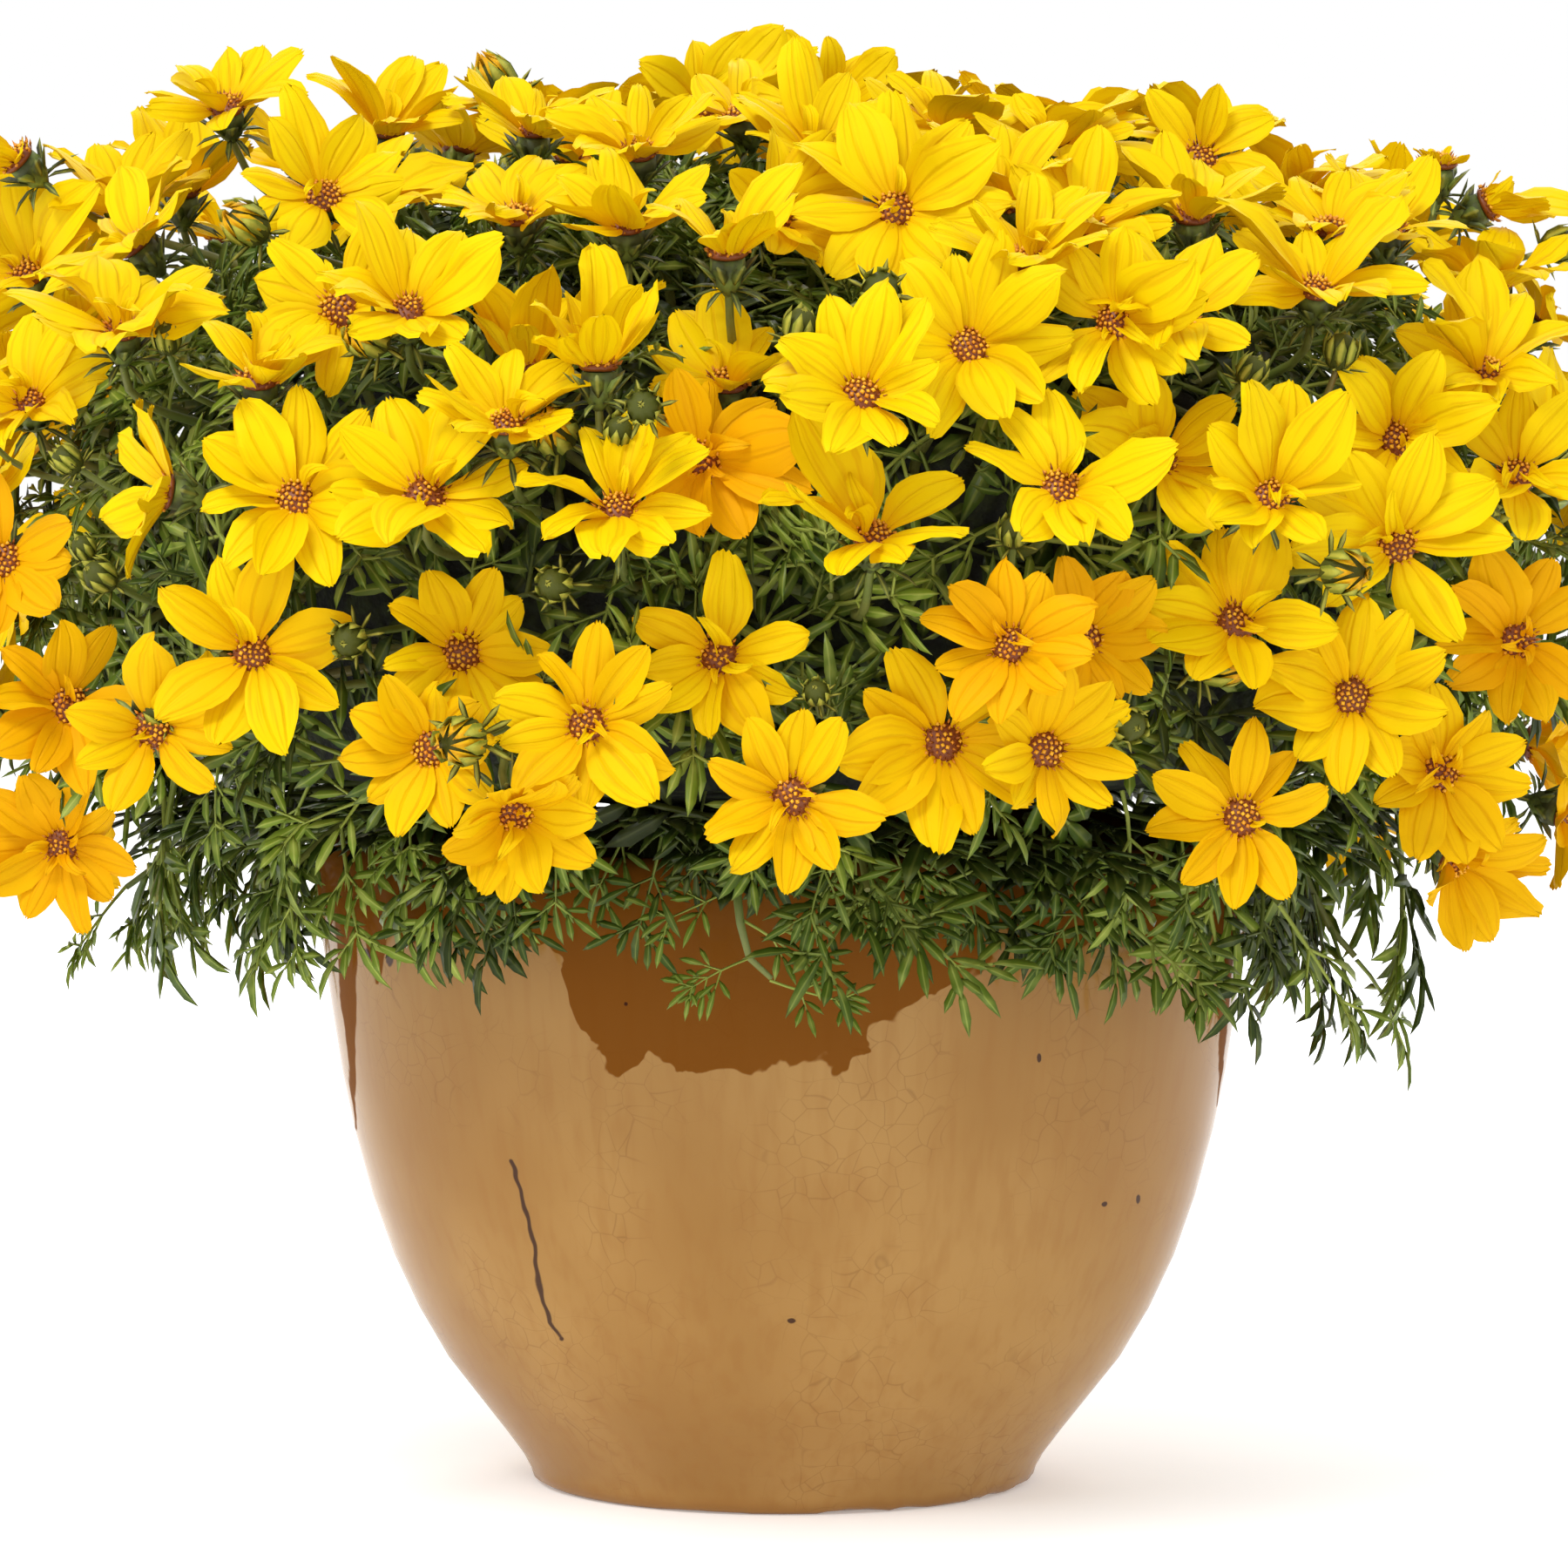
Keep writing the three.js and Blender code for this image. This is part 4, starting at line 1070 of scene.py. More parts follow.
def discFinish():
    material, graph, colours = newFinish("disc_florets", disc["colours"])
    tone = graph.attribute("tone")
    colour = graph.mix(graph.step(tone, 0.0, 0.55), colours["deep"], colours["warm"])
    colour = graph.mix(graph.step(tone, 0.5, 1.0), colour, colours["gold"])
    grain = graph.noise(graph.objectPlace(), 1500.0)
    colour = graph.mix(grain * 0.2, colour, colours["deep"])
    graph.surface(Base_Color=colour, Roughness=0.5, Normal=graph.bump(grain, 0.2, 0.0002))
    return material


def uprightAxes(facing, turn):  # z along facing, turned about it
    side = facing.orthogonal().normalized()
    x = Matrix.Rotation(turn, 3, facing) @ side
    return axes(x, facing.cross(x), facing)


def calyxShape(name, seed):
    draw = random.Random(seed)
    profile = [(0, -10.2), (1.1, -9.8), (3.2, -7.2), (4.2, -4.0), (4.0, -1.2), (0, -1.2)]
    cup = turnedShape("cup", 7, profile)
    rows = []
    for k in range(calyx["outerBracts"]):
        turn = (k + draw.uniform(-0.2, 0.2)) / calyx["outerBracts"] * 2 * math.pi
        out = outAt(turn)
        forward = out + Vector((0, 0, draw.uniform(-0.35, 0.5)))
        length = calyx["outerLength"] * draw.uniform(0.8, 1.15)
        rows.append((out * 1.6 + Vector((0, 0, -8.3)), facingAxes(forward, Vector((0, 0, 1))),
                     (length, calyx["outerWidth"], length), 1, 0.4))
    for k in range(calyx["innerBracts"]):
        turn = (k + 0.5) / calyx["innerBracts"] * 2 * math.pi
        out = outAt(turn)
        forward = out * 0.75 + Vector((0, 0, 1))
        rows.append((out * 2.7 + Vector((0, 0, -7.2)), facingAxes(forward, -out + Vector((0, 0, 0.7))),
                     (calyx["innerLength"], calyx["innerWidth"], calyx["innerLength"]), 0, 0.8))
    shapes = [lobeShape("bract_0", 0.08, 2), lobeShape("bract_1", 0.35, 2)]
    return scatter(name, rows, shapes, None, size=1.0, joinWith=cup)


def calyxFinish():
    material, graph, colours = newFinish("calyx_green", calyx["colours"])
    place = graph.objectPlace()
    across = graph.alongAndAcross()[1]
    colour = graph.mix(graph.step(graph.noise(place, 260.0), 0.35, 0.7), colours["dark"], colours["green"])
    stripe = 1 - graph.step(abs(across - 0.5), 0.05, 0.2)
    colour = graph.mix(stripe * 0.5, colour, colours["stripe"])
    normal = graph.bump(graph.noise(place, 900.0), 0.4, 0.0003)
    graph.surface(Base_Color=colour, Roughness=0.6, Normal=normal)
    return material


def buildDiscsAndCalyces():
    draw = random.Random(8)
    discRows, calyxRows = [], []
    for bloom in blooms:
        turned = uprightAxes(bloom["facing"], draw.uniform(0, 6.28))
        size = draw.uniform(0.94, 1.08)
        discRows.append((bloom["centre"], turned, (size,) * 3, draw.randrange(3), 0.5))
        calyxRows.append((bloom["centre"], turned, (1.0,) * 3, draw.randrange(2), 0.5))
    shapes = [discShape(f"disc_{k}", share, 40 + k) for k, share in enumerate((0.66, 0.45, 0.85))]
    finishPiece(scatter("flower_discs", discRows, shapes, discFinish()), sprayNames)
    shapes = [calyxShape(f"calyx_{k}", 60 + k) for k in range(2)]
    finishPiece(scatter("calyces", calyxRows, shapes, calyxFinish()), sprayNames)


buildDiscsAndCalyces()


# Buds: green globes, striped ones about to open, and half-open goblets
budLook = {
    # small ones as the camera sees them: across, height, thickness
    "small": [
        (-156, 191, 7), (8, 196, 6), (-108, 209, 8), (-57, 223, 8), (-170, 225, 8), (-174, 232, 6),
        (57, 236, 7), (-178, 254, 7), (-41, 261, 7), (116, 276, 7), (138, 281, 8), (-153, 284, 7),
        (4, 287, 8), (18, 287, 7), (-186, 303, 8), (86, 335, 8),
    ],
    "around": 34,
    "profile": [(0, -6.4), (1.2, -6), (3.4, -4.6), (4.7, -1.5), (4.3, 1.8), (2.6, 4.2), (0, 5.2)],
    "colours": {"green": (142, 148, 46), "pale": (212, 200, 80), "dark": (70, 74, 22),
                "yellow": (240, 186, 10), "streak": (196, 104, 6)},
}


def budShape(name, kind, seed):  # 10 mm thick, standing on +Z from its stalk's end at z -6
    draw = random.Random(seed)
    up = Vector((0, 0, 1))
    core = turnedShape("core", 10, budLook["profile"])
    rows = []

    def ring(count, radius, height, outward, length, width, shape, tone, jitter=0.12):
        for k in range(count):
            turn = (k + draw.uniform(-jitter, jitter)) / count * 2 * math.pi + height
            out = outAt(turn)
            size = length * draw.uniform(0.9, 1.1)
            rows.append((out * radius + up * height, facingAxes(up + out * outward, out),
                         (size, width, size), shape, tone + draw.uniform(-0.08, 0.08)))
    if kind == "globe":
        ring(9, 3.4, -4.2, 0.55, 8.5, 3.4, 2, 0.35)
        ring(7, 2.2, -1.0, 0.1, 6.5, 3.0, 2, 0.2)
    elif kind == "striped":
        ring(8, 3.3, -4.2, 0.42, 11.0, 3.3, 2, 0.45)
        ring(8, 3.9, -2.6, 0.16, 10.5, 2.6, 2, 0.9)
    else:
        ring(8, 3.3, -4.2, 0.42, 9.5, 3.4, 1, 0.4)
        ring(8, 3.5, -1.8, 0.30, 15.5, 6.4, 1, 0.97)
        ring(6, 2.2, -1.0, 0.16, 16.0, 5.6, 1, 0.92)
    ring(8, 1.6, -5.4, draw.uniform(1.6, 2.6), 7.5, 1.5, 0, 0.1, 0.3)
    shapes = [lobeShape("part_0", -0.25, 2), lobeShape("part_1", 0.12), lobeShape("part_2", 0.42, 2)]
    return scatter(name, rows, shapes, None, size=1.0, joinWith=core)


def budFinish():
    material, graph, colours = newFinish("bud_skin", budLook["colours"])
    place = graph.objectPlace()
    across = graph.alongAndAcross()[1]
    tone = graph.attribute("tone")
    green = graph.mix(graph.step(tone, 0.0, 0.5), colours["dark"], colours["green"])
    offRib = abs(across - 0.5)
    green = graph.mix((1 - graph.step(offRib, 0.1, 0.35)) * 0.45, green, colours["pale"])
    yellow = graph.mix((1 - graph.step(offRib, 0.0, 0.3)) * 0.4, colours["yellow"], colours["streak"])
    colour = graph.mix(graph.step(tone, 0.6, 0.8), green, yellow)
    fine = graph.noise(place, 1300.0)
    colour = graph.mix(fine * 0.25, colour, colours["dark"])
    normal = graph.bump(fine, 0.4, 0.0003)
    graph.surface(Base_Color=colour, Roughness=0.6, Normal=normal, Specular_IOR_Level=0.2)
    return material


def placedBuds():
    draw = random.Random(17)
    found = []
    for bud in buds:
        thick = 2 * bud["half"]
        kind = 2 if thick > 11.5 else 1 if thick > 9.5 else 0
        found.append((bud["centre"], bud["facing"], thick, kind))
    for across, height, thick in budLook["small"]:
        place = seenOnMound(across, height)
        normal = canopyNormal(polarOf(place), math.atan2(place.y, place.x))
        found.append((place, mostlyUp(draw, normal, 0.3, 0.8), thick, 0))
    for k in range(budLook["around"]):
        turn = -math.pi / 2 + math.radians(62) + math.radians(236) * draw.random()
        polar = math.radians(draw.uniform(12, 104))
        place = moundPoint(polar, turn, draw.uniform(-2, 14))
        if min((place - b["centre"]).length for b in blooms) > 22:
            facing = mostlyUp(draw, canopyNormal(polar, turn), 0.3, 0.8)
            found.append((place, facing, draw.uniform(6.5, 11), draw.choice((0, 0, 1))))
    return found


def buildBuds():
    rows = []
    for k, (place, facing, thick, kind) in enumerate(heldBuds):
        size = thick / 10
        rows.append((place, uprightAxes(facing, k * goldenAngle), (size,) * 3, kind, 0.5))
    shapes = [budShape(f"bud_{k}", kind, 30 + k) for k, kind in enumerate(("globe", "striped", "goblet"))]
    finishPiece(scatter("buds", rows, shapes, budFinish()), stemNames)


heldBuds = placedBuds()
buildBuds()


# Stalks down into the leaves, forks under them, and branches to the potting mix
stems = {
    "stalkRadius": 1.0, "budRadius": 0.8, "forkRadius": 1.4, "branchRadius": 2.0,
    "sides": 5, "dive": 7.0, "forkDepth": 13.0,
    "soil": 150.0,
    "colours": {
        "olive": (130, 132, 60), "green": (98, 116, 44), "shade": (66, 64, 30), "ruddy": (126, 88, 50),
    },
}


def widened(places, first, last):  # tube points whose radius runs from first to last
    steps = len(places) - 1
    return [(place, first + (last - first) * k / steps) for k, place in enumerate(places)]


def divingPath(start, facing):  # from a flower's or bud's back down to a place among the leaves
    behind = start - facing * 14
    polar = min(1.75, polarOf(behind))
    turn = math.atan2(behind.y, behind.x)
    end = canopyPoint(polar, turn, stems["dive"])
    reach = (end - start).length
    leave = start - facing * reach * 0.4
    arrive = end + canopyNormal(polar, turn) * reach * 0.35
    return bezier(start, leave, arrive, end, 6)


def stalkPaths():
    paths = []
    for spray in range(len(sprayNames)):
        own = [b for b in blooms if b["spray"] == spray]
        if not own:
            continue
        middle = sum((b["centre"] for b in own), Vector()) / len(own)
        fork = canopyUnder(middle, stems["forkDepth"], mound["lowestFork"])
        turn = math.atan2(middle.y, middle.x)
        normal = canopyNormal(min(mound["lowestFork"], polarOf(middle)), turn)
        for bloom in own:
            stalk = divingPath(bloom["centre"] - 9.4 * bloom["facing"], bloom["facing"])
            down = stalk[-1] - normal * 8
            rest = bezier(stalk[-1], down, (down + fork) / 2, fork, 3)
            paths.append(widened(stalk + rest[1:], stems["stalkRadius"], stems["forkRadius"]))
        ring = 24 + 12 * math.sin(spray * 2.4)
        foot = Vector((ring * math.cos(turn), ring * math.sin(turn), stems["soil"] - 8))
        inward = fork - normal * 45
        branch = bezier(fork, inward, foot + Vector((0, 0, 50)), foot, 8)
        paths.append(widened(branch, stems["forkRadius"], stems["branchRadius"]))
    return paths


def stemFinish():
    material, graph, colours = newFinish("stem_olive", stems["colours"])
    place = graph.objectPlace()
    colour = graph.mix(graph.step(graph.noise(place, 30.0), 0.35, 0.65), colours["green"], colours["olive"])
    colour = graph.mix(graph.step(graph.noise(place, 17.0), 0.58, 0.75) * 0.5, colour, colours["ruddy"])
    fine = graph.noise(place, 700.0, 3.0)
    colour = graph.mix(fine * 0.4, colour, colours["shade"])
    graph.surface(Base_Color=colour, Roughness=0.5, Normal=graph.bump(fine, 0.3, 0.0003))
    return material


stemMaterial = stemFinish()
finishPiece(tubes("flower_stalks", stalkPaths(), stems["sides"], stemMaterial), sprayNames)


# Leaves, cut twice to their ribs into narrow lobes
leaf = {
    "length": 45.0,
    "lobeWidth": (2.8, 3.7),
    "kinds": 5,
    "coverage": 1.31,  # how far tufts and inner leaves reach down: 1 would be the mound's waist
    "colours": {"deep": (60, 82, 20), "green": (120, 142, 42), "light": (186, 194, 96), "dark": (34, 40, 10)},
    "tufts": 188, "perTuft": 5,
    "inner": 430,
    "under": 130,
    "shoots": 12,
    "hanging": 84,
    "clear": 15.0,  # how far leaves stay from the middle of a flower that they would hide
    "lowestTips": {"front": 141.0, "left": 126.0, "right": 108.0, "back": 130.0},
    "sprig": [(-14, -124, 168), (-11, -136, 158), (-10, -139, 149), (-8, -137, 141), (-3, -133, 136)],
    # painted shade: the core is a closed dark sheet inside the leaves that stands in for the shade deep in
    # the mound
    "core": {"depth": 21.0, "rows": 26, "turns": 72, "rough": 5.0, "floor": 164.5, "lowestPolar": 1.9,
             "colours": {"gap": (14, 16, 6), "shaded_twig": (48, 56, 20)}},
}


def featheredLeaf(name, seed, pairs):
    draw = random.Random(seed)
    length = leaf["length"]
    droop = draw.uniform(0.12, 0.3)
    rows, stalks = [], []

    def onRib(t):
        return Vector((t * length, 2.0 * math.sin(3 * t + seed), -droop * t * t * length))

    def addLobe(root, forward, lobeLength, up):
        width = draw.uniform(*leaf["lobeWidth"]) * min(1.0, 0.6 + 0.03 * lobeLength)
        kind = draw.randrange(len(lobe["bends"])) + (len(lobe["bends"]) if lobeLength < 13 else 0)
        rows.append((root, facingAxes(forward, up), (lobeLength, width, lobeLength), kind, 0.5))

    def addPinna(t, side, reach, spread):
        root = onRib(t)
        forward = Vector((math.cos(spread), side * math.sin(spread), draw.uniform(-0.25, 0.15))).normalized()
        up = Vector((0, -side * 0.15, 1))
        end = root + forward * reach * 0.42
        stalks.append([(root, 0.62), (end, 0.5)])
        addLobe(root + forward * reach * 0.36, forward, reach * 0.68, up)
        for part, share, half in ((0.20, 0.50, 1), (0.27, 0.54, -1)):
            off = Matrix.Rotation(half * draw.uniform(0.5, 0.8), 3, "Z") @ forward
            addLobe(root + forward * reach * part, off, reach * share, up)

    for k in range(pairs):
        t = 0.34 + 0.38 * k / max(1, pairs - 1)
        reach = length * (0.52 - 0.08 * k)
        for side in (1, -1):
            at = t + draw.uniform(-0.015, 0.015)
            addPinna(at, side, reach * draw.uniform(0.9, 1.1), draw.uniform(0.6, 0.95))
    tip = onRib(0.70)
    forward = (onRib(0.8) - tip).normalized()
    up = Vector((0, 0, 1))
    addLobe(tip, forward, length * 0.40, up)
    for side in (1, -1):
        off = Matrix.Rotation(side * draw.uniform(0.4, 0.65), 3, "Z") @ forward
        addLobe(onRib(0.66), off, length * 0.28, up)
    stalks.append([(onRib(k / 4 * 0.76), 0.85 - 0.4 * k / 4) for k in range(5)])
    ribs = tubes("ribs", stalks, 3, None, size=1.0)
    shapes = [lobeShape(f"lobe_{k}", bend) for k, bend in enumerate(lobe["bends"])]
    shapes += [lobeShape(f"lobe_{k + 5}", bend, 2) for k, bend in enumerate(lobe["bends"])]
    made = scatter(name, rows, shapes, None, size=1.0, joinWith=ribs)
    made.data.attributes.remove(made.data.attributes["tone"])
    return made


def broadLeaf(name, seed):  # a plainer one for the depth of the mound
    draw = random.Random(seed)
    length = 42.0
    up = Vector((0, 0, 1))
    rows = []
    for k in range(4):
        t = 0.2 + 0.2 * k
        for side in (1, -1):
            spread = draw.uniform(0.6, 1.1)
            forward = Vector((math.cos(spread), side * math.sin(spread), draw.uniform(-0.3, 0.2)))
            reach = draw.uniform(14, 19) * (1 - 0.12 * k)
            rows.append((Vector((t * length, 0, -2 * t)), facingAxes(forward, up),
                         (reach, draw.uniform(4.0, 5.2), reach), draw.randrange(2), 0.5))
    rows.append((Vector((0.8 * length, 0, -2)), facingAxes(Vector((1, 0, -0.2)), up), (14, 4.6, 14), 0, 0.5))
    rib = [(Vector((0, 0, 0)), 0.9), (Vector((0.85 * length, 0, -2)), 0.6)]
    ribs = tubes("ribs", [rib], 3, None, size=1.0)
    shapes = [lobeShape("broad_0", 0.15, 2), lobeShape("broad_1", 0.35, 2)]
    made = scatter(name, rows, shapes, None, size=1.0, joinWith=ribs)
    made.data.attributes.remove(made.data.attributes["tone"])
    return made


def leafFinish():
    material, graph, colours = newFinish("leaf_green", leaf["colours"])
    place = graph.objectPlace()
    across = graph.alongAndAcross()[1]
    tone = graph.attribute("tone")
    # a low tone paints a leaf darker: painted shade for the leaves deep in and under the mound, random tone
    # for the rest
    colour = graph.mix(graph.step(tone, 0.0, 0.4), colours["dark"], colours["deep"])
    colour = graph.mix(graph.step(tone, 0.3, 1.0), colour, colours["green"])
    mottle = graph.noise(place, 160.0, 1.0)
    colour = graph.mix(graph.step(mottle, 0.45, 0.8) * tone * 0.6, colour, colours["light"])
    rib = 1 - graph.step(abs(across - 0.5), 0.02, 0.14)
    colour = graph.mix(rib * tone * 0.5, colour, colours["light"])
    normal = graph.bump(rib, 0.3, 0.0003)
    graph.surface(Base_Color=colour, Roughness=0.36, Normal=normal, Specular_IOR_Level=0.22)
    return material


def leafRow(root, forward, up, size, kind, tone):
    return (root, facingAxes(forward, up), (size,) * 3, kind, tone)


def lowestTip(turn):  # how far down leaves hang, front, right, back and left
    low = leaf["lowestTips"]
    ahead, aside = -math.sin(turn), math.cos(turn)
    side = low["right"] if aside > 0 else low["left"]
    end = low["front"] if ahead > 0 else low["back"]
    return side * aside * aside + end * ahead * ahead


def hangs(root, forward, size, spare=0.0):  # whether a leaf stays over the fringe's lower edge
    tip = root + forward.normalized() * leaf["length"] * size
    return tip.z > lowestTip(math.atan2(tip.y, tip.x)) + spare


def fitted(root, forward, size):  # a leaf's size, drawn in until its tip is under the flowers
    while size > 0.5:
        tip = root + forward.normalized() * leaf["length"] * size
        if insetOf(tip) > (13 if tip.z > 225 else 3):
            return size
        size -= 0.06
    return None


def hidesBloom(root, forward, size):  # whether a leaf would pass in front of a flower
    for share in (0.55, 0.75, 0.95):
        place = root + forward.normalized() * leaf["length"] * size * share
        for bloom in blooms:
            off = place - bloom["centre"]
            lift = off.dot(bloom["facing"])
            if -2 < lift < 30 and off.length_squared - lift * lift < leaf["clear"] ** 2:
                return True
    return False


def tuftRows(draw):  # shoots that stand over the canopy, with leaves all round them
    rows, shoots = [], []
    for i in range(leaf["tufts"]):
        share = (i + 0.5) / leaf["tufts"]
        polar = math.acos(1 - leaf["coverage"] * share)
        turn = i * goldenAngle + draw.uniform(-0.05, 0.05)
        root = canopyPoint(polar, turn, draw.uniform(-5, 10))
        normal = canopyNormal(polar, turn)
        axis = mostlyUp(draw, normal, 0.4, 0.6)
        shoot = [(root - normal * 34, 1.5), (root - axis * 12, 1.3), (root, 1.1), (root + axis * 7, 0.8)]
        shoots.append(shoot)
        side = axis.orthogonal().normalized()
        for k in range(leaf["perTuft"]):
            away = Matrix.Rotation(k * goldenAngle + draw.uniform(-0.3, 0.3) + i, 3, axis) @ side
            tilt = draw.uniform(0.45, 1.35)
            forward = axis * math.cos(tilt) + away * math.sin(tilt)
            size = fitted(root, forward, draw.uniform(0.75, 1.08))
            if size and hangs(root, forward, size, 17) and not hidesBloom(root, forward, size):
                tone = min(1.0, max(0.15, draw.gauss(0.62, 0.24)))
                foot = root + axis * draw.uniform(-4, 6)
                rows.append(leafRow(foot, forward, axis, size, draw.randrange(leaf["kinds"]), tone))
    return rows, shoots


def innerRows(draw):  # leaves that lie across the canopy under the tufts and close it
    rows = []
    for i in range(leaf["inner"]):
        share = (i + 0.5) / leaf["inner"]
        polar = math.acos(1 - leaf["coverage"] * share)
        turn = i * goldenAngle
        normal = canopyNormal(polar, turn)
        across = normal.orthogonal().normalized()
        across = Matrix.Rotation(draw.uniform(0, 6.28), 3, normal) @ across
        forward = across + normal * draw.uniform(-0.1, 0.45)
        root = canopyPoint(polar, turn, draw.uniform(4, 18)) - across * 16
        size = draw.uniform(0.8, 1.1)
        if min(root.z, (root + forward * leaf["length"] * size).z) > 164:
            # painted shade: these leaves deep in the mound get a low tone, so they are painted darker
            rows.append(leafRow(root, forward, normal, size, draw.randrange(3), draw.uniform(0.05, 0.5)))
    return rows


def underRows(draw):  # the mound's underside, from the pot's rim out to the hem
    rows = []
    for i in range(leaf["under"]):
        turn = i * goldenAngle
        out = outAt(turn)
        root = out * draw.uniform(96, 132) + Vector((0, 0, draw.uniform(165, 173)))
        forward = out + Vector((draw.uniform(-0.5, 0.5), draw.uniform(-0.5, 0.5), draw.uniform(-0.15, 0.1)))
        # painted shade: these leaves under the mound get a low tone, so they are painted darker
        rows.append(leafRow(root, forward, Vector((0, 0, 1)), draw.uniform(0.8, 1.05), draw.randrange(3),
                            draw.uniform(0.05, 0.4)))
    return rows


def fringeRows(draw):  # leaves that hang from the hem, and shoots that bend out of it
    rows, shoots = [], []
    down = Vector((0, 0, -1))

    def hang(place, forward, out, size):
        for attempt in range(6):
            if not hangs(place, forward, size):
                forward = forward.normalized() - down * 0.3
        tone = min(1.0, max(0.15, draw.gauss(0.55, 0.24)))
        if hangs(place, forward, size):
            face = Vector((0, 0, 0.4)) + out
            rows.append(leafRow(place, forward, face, size, draw.randrange(leaf["kinds"]), tone))

    for i in range(leaf["hanging"]):
        turn = i * goldenAngle
        out = outAt(turn)
        side = Vector((-out.y, out.x, 0))
        place = out * draw.uniform(118, 158) + Vector((0, 0, draw.uniform(166, 184)))
        forward = down + out * draw.uniform(-0.1, 0.5) + side * draw.uniform(-0.6, 0.6)
        low = lowestTip(turn) + (place.z - lowestTip(turn)) * 0.5 * draw.random()
        size = (place.z - low) / (leaf["length"] * -forward.normalized().z)
        hang(place, forward, out, min(1.15, max(0.6, size)))
    for i in range(leaf["shoots"]):
        turn = (i + draw.uniform(-0.3, 0.3)) / leaf["shoots"] * 2 * math.pi
        out = outAt(turn)
        start = out * 104 + Vector((0, 0, 170))
        low = lowestTip(turn)
        end = out * draw.uniform(134, 170) + Vector((0, 0, draw.uniform(low + 14, max(low + 24, 162))))
        leave = start + out * 24 + Vector((0, 0, 6))
        path = bezier(start, leave, end - out * 14 + Vector((0, 0, 10)), end, 6)
        shoots.append([(p, 1.4 - 0.1 * k) for k, p in enumerate(path)])
        for k in range(2, 7):
            along = (path[k] - path[k - 1]).normalized()
            side = along.cross(Vector((0, 0, 1))).normalized() * (1 if k % 2 else -1)
            forward = along * draw.uniform(0.4, 1.0) + side * draw.uniform(0.2, 0.9)
            forward += down * draw.uniform(0.3, 1.2)
            hang(path[k], forward, out, draw.uniform(0.6, 0.9))
    sprig = [Vector(p) for p in leaf["sprig"]]
    shoots.append(widened(sprig, 1.3, 0.7))
    for k, place in enumerate(sprig[1:]):
        forward = Vector((1 if k % 2 else -1, -0.3, draw.uniform(-0.9, 0.0)))
        rows.append(leafRow(place, forward, Vector((0, -1, 0.5)), draw.uniform(0.42, 0.55), k % 5, 0.7))
    return rows, shoots


def coreMesh():  # a closed dark sheet painted as the shade deep in the thicket, which the leaves stand out of
    core = leaf["core"]
    points, faces = [], []
    turns = core["turns"]
    points.append(canopyPoint(0.001, 0, core["depth"]))
    for row in range(core["rows"]):
        polar = core["lowestPolar"] * (row + 1) / core["rows"]
        for k in range(turns):
            turn = k / turns * 2 * math.pi
            place = canopyPoint(polar, turn, core["depth"])
            place += canopyNormal(polar, turn) * noise.noise(place / 11) * core["rough"]
            place.z = max(place.z, core["floor"])
            points.append(place)
    points.append(Vector((0, 0, core["floor"])))
    last = len(points) - 1
    for k in range(turns):
        n = (k + 1) % turns
        faces.append((0, 1 + k, 1 + n))
        for row in range(core["rows"] - 1):
            a = 1 + row * turns
            faces.append((a + k, a + turns + k, a + turns + n, a + n))
        a = last - turns
        faces.append((a + k, last, a + n))
    return outwardNormals(meshObject("thicket", [p * mm for p in points], faces))


def thicketFinish():
    material, graph, colours = newFinish("thicket_shade", leaf["core"]["colours"])
    # painted shade: near-black, with patches of dark green twigs in shade
    twigsInShade = graph.noise(graph.objectPlace(), 190.0, 3.0)
    colour = graph.mix(graph.step(twigsInShade, 0.4, 0.72), colours["gap"], colours["shaded_twig"])
    graph.surface(Base_Color=colour, Roughness=0.8, Normal=graph.bump(twigsInShade, 0.9, 0.003))
    return material


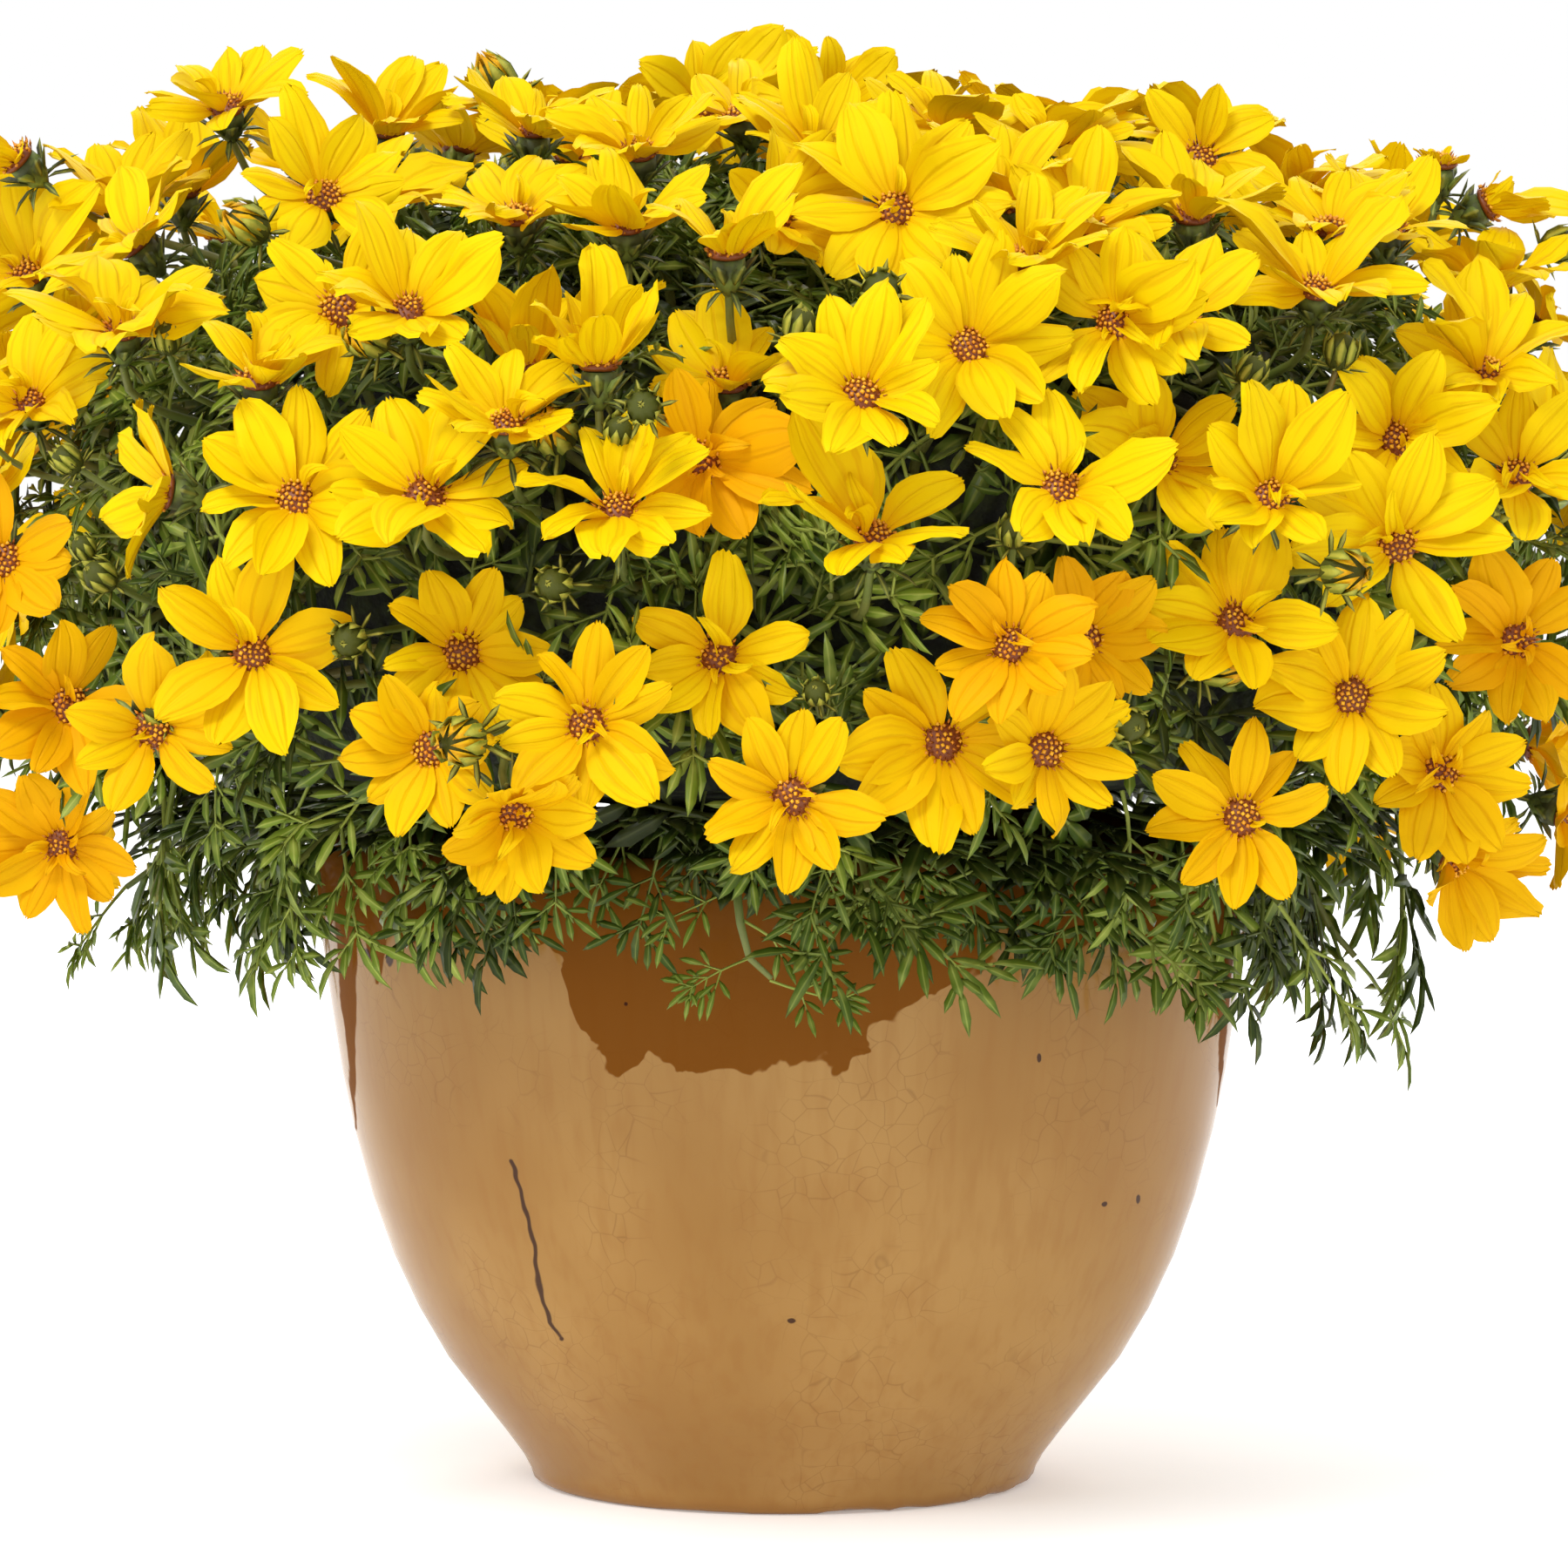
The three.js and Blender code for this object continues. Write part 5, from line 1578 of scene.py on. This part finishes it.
def buildLeaves():
    draw = random.Random(21)
    material = leafFinish()
    tufts, shoots = tuftRows(draw)
    fringe, hanging = fringeRows(draw)
    third = len(tufts) // 3

    def shapes():
        return [featheredLeaf(f"leaf_{k}", 70 + k, 3 if k == 2 else 2) for k in range(leaf["kinds"])]
    parts = {"crown": tufts[:third], "shoulder": tufts[third:2 * third], "side": tufts[2 * third:],
             "fringe": fringe}
    for name, rows in parts.items():
        finishPiece(scatter(f"leaves_{name}", rows, shapes(), material, spread=0.06), stemNames)
    broad = [broadLeaf(f"broad_{k}", 90 + k) for k in range(3)]
    inner = innerRows(draw) + underRows(draw)
    finishPiece(scatter("leaves_inner", inner, broad, material), stemNames)
    radii = (stems["budRadius"], stems["stalkRadius"])
    for place, facing, thick, kind in heldBuds:
        hanging.append(widened(divingPath(place - facing * thick * 0.6, facing), *radii))
    finishPiece(tubes("leafy_shoots", shoots + hanging, stems["sides"], stemMaterial), stemNames)
    core = coreMesh()
    core.data.materials.append(thicketFinish())
    finishPiece(core, stemNames)


buildLeaves()


# Potting mix, crumbly and damp, up to a low crown under the rim
mix = {
    # radius and height of the wall, from the middle of the base up to the mix's edge
    "wall": [(0, 10.35), (54, 10.35), (72.5, 31.4), (88, 57.4), (98, 88.4), (104.2, 130), (104.9, 145)],
    "rings": (101, 95, 87, 78, 69, 60, 50, 40, 30, 20, 10),
    "radius": 105, "edge": 145.6, "crown": 6, "top": 152,
    "sides": 96,
    "grain": [(9, 1.1), (3.4, 0.7)],  # size and height of the lumps and of the crumbs
    "colours": {"damp": (30, 20, 13), "fibre": (84, 60, 40)},
}


def mixFinish():
    material, graph, colours = newFinish("damp_mix", mix["colours"])
    crumbs = graph.noise(graph.objectPlace(), 240.0, 4.0)
    colour = graph.mix(graph.step(crumbs, 0.35, 0.7), colours["damp"], colours["fibre"])
    graph.surface(Base_Color=colour, Roughness=0.9, Normal=graph.bump(crumbs, 0.8, 0.0015))
    return material


def buildMix():
    surface = [(r, mix["edge"] + mix["crown"] * (1 - r / mix["radius"])) for r in mix["rings"]]
    section = mix["wall"] + surface + [(0, mix["top"])]

    def lumpy(place, angle):
        if place.z <= mix["wall"][-1][1]:
            return place
        rough = sum(noise.noise(place / size) * height for size, height in mix["grain"])
        return place + Vector((0, 0, rough))
    points, faces = turnedBowl(section, mix["sides"], lumpy)
    piece = outwardNormals(meshObject("potting_mix_crumbly", [p * mm for p in points], faces))
    piece.data.materials.append(mixFinish())
    finishPiece(piece, ["potting_mix"])


buildMix()
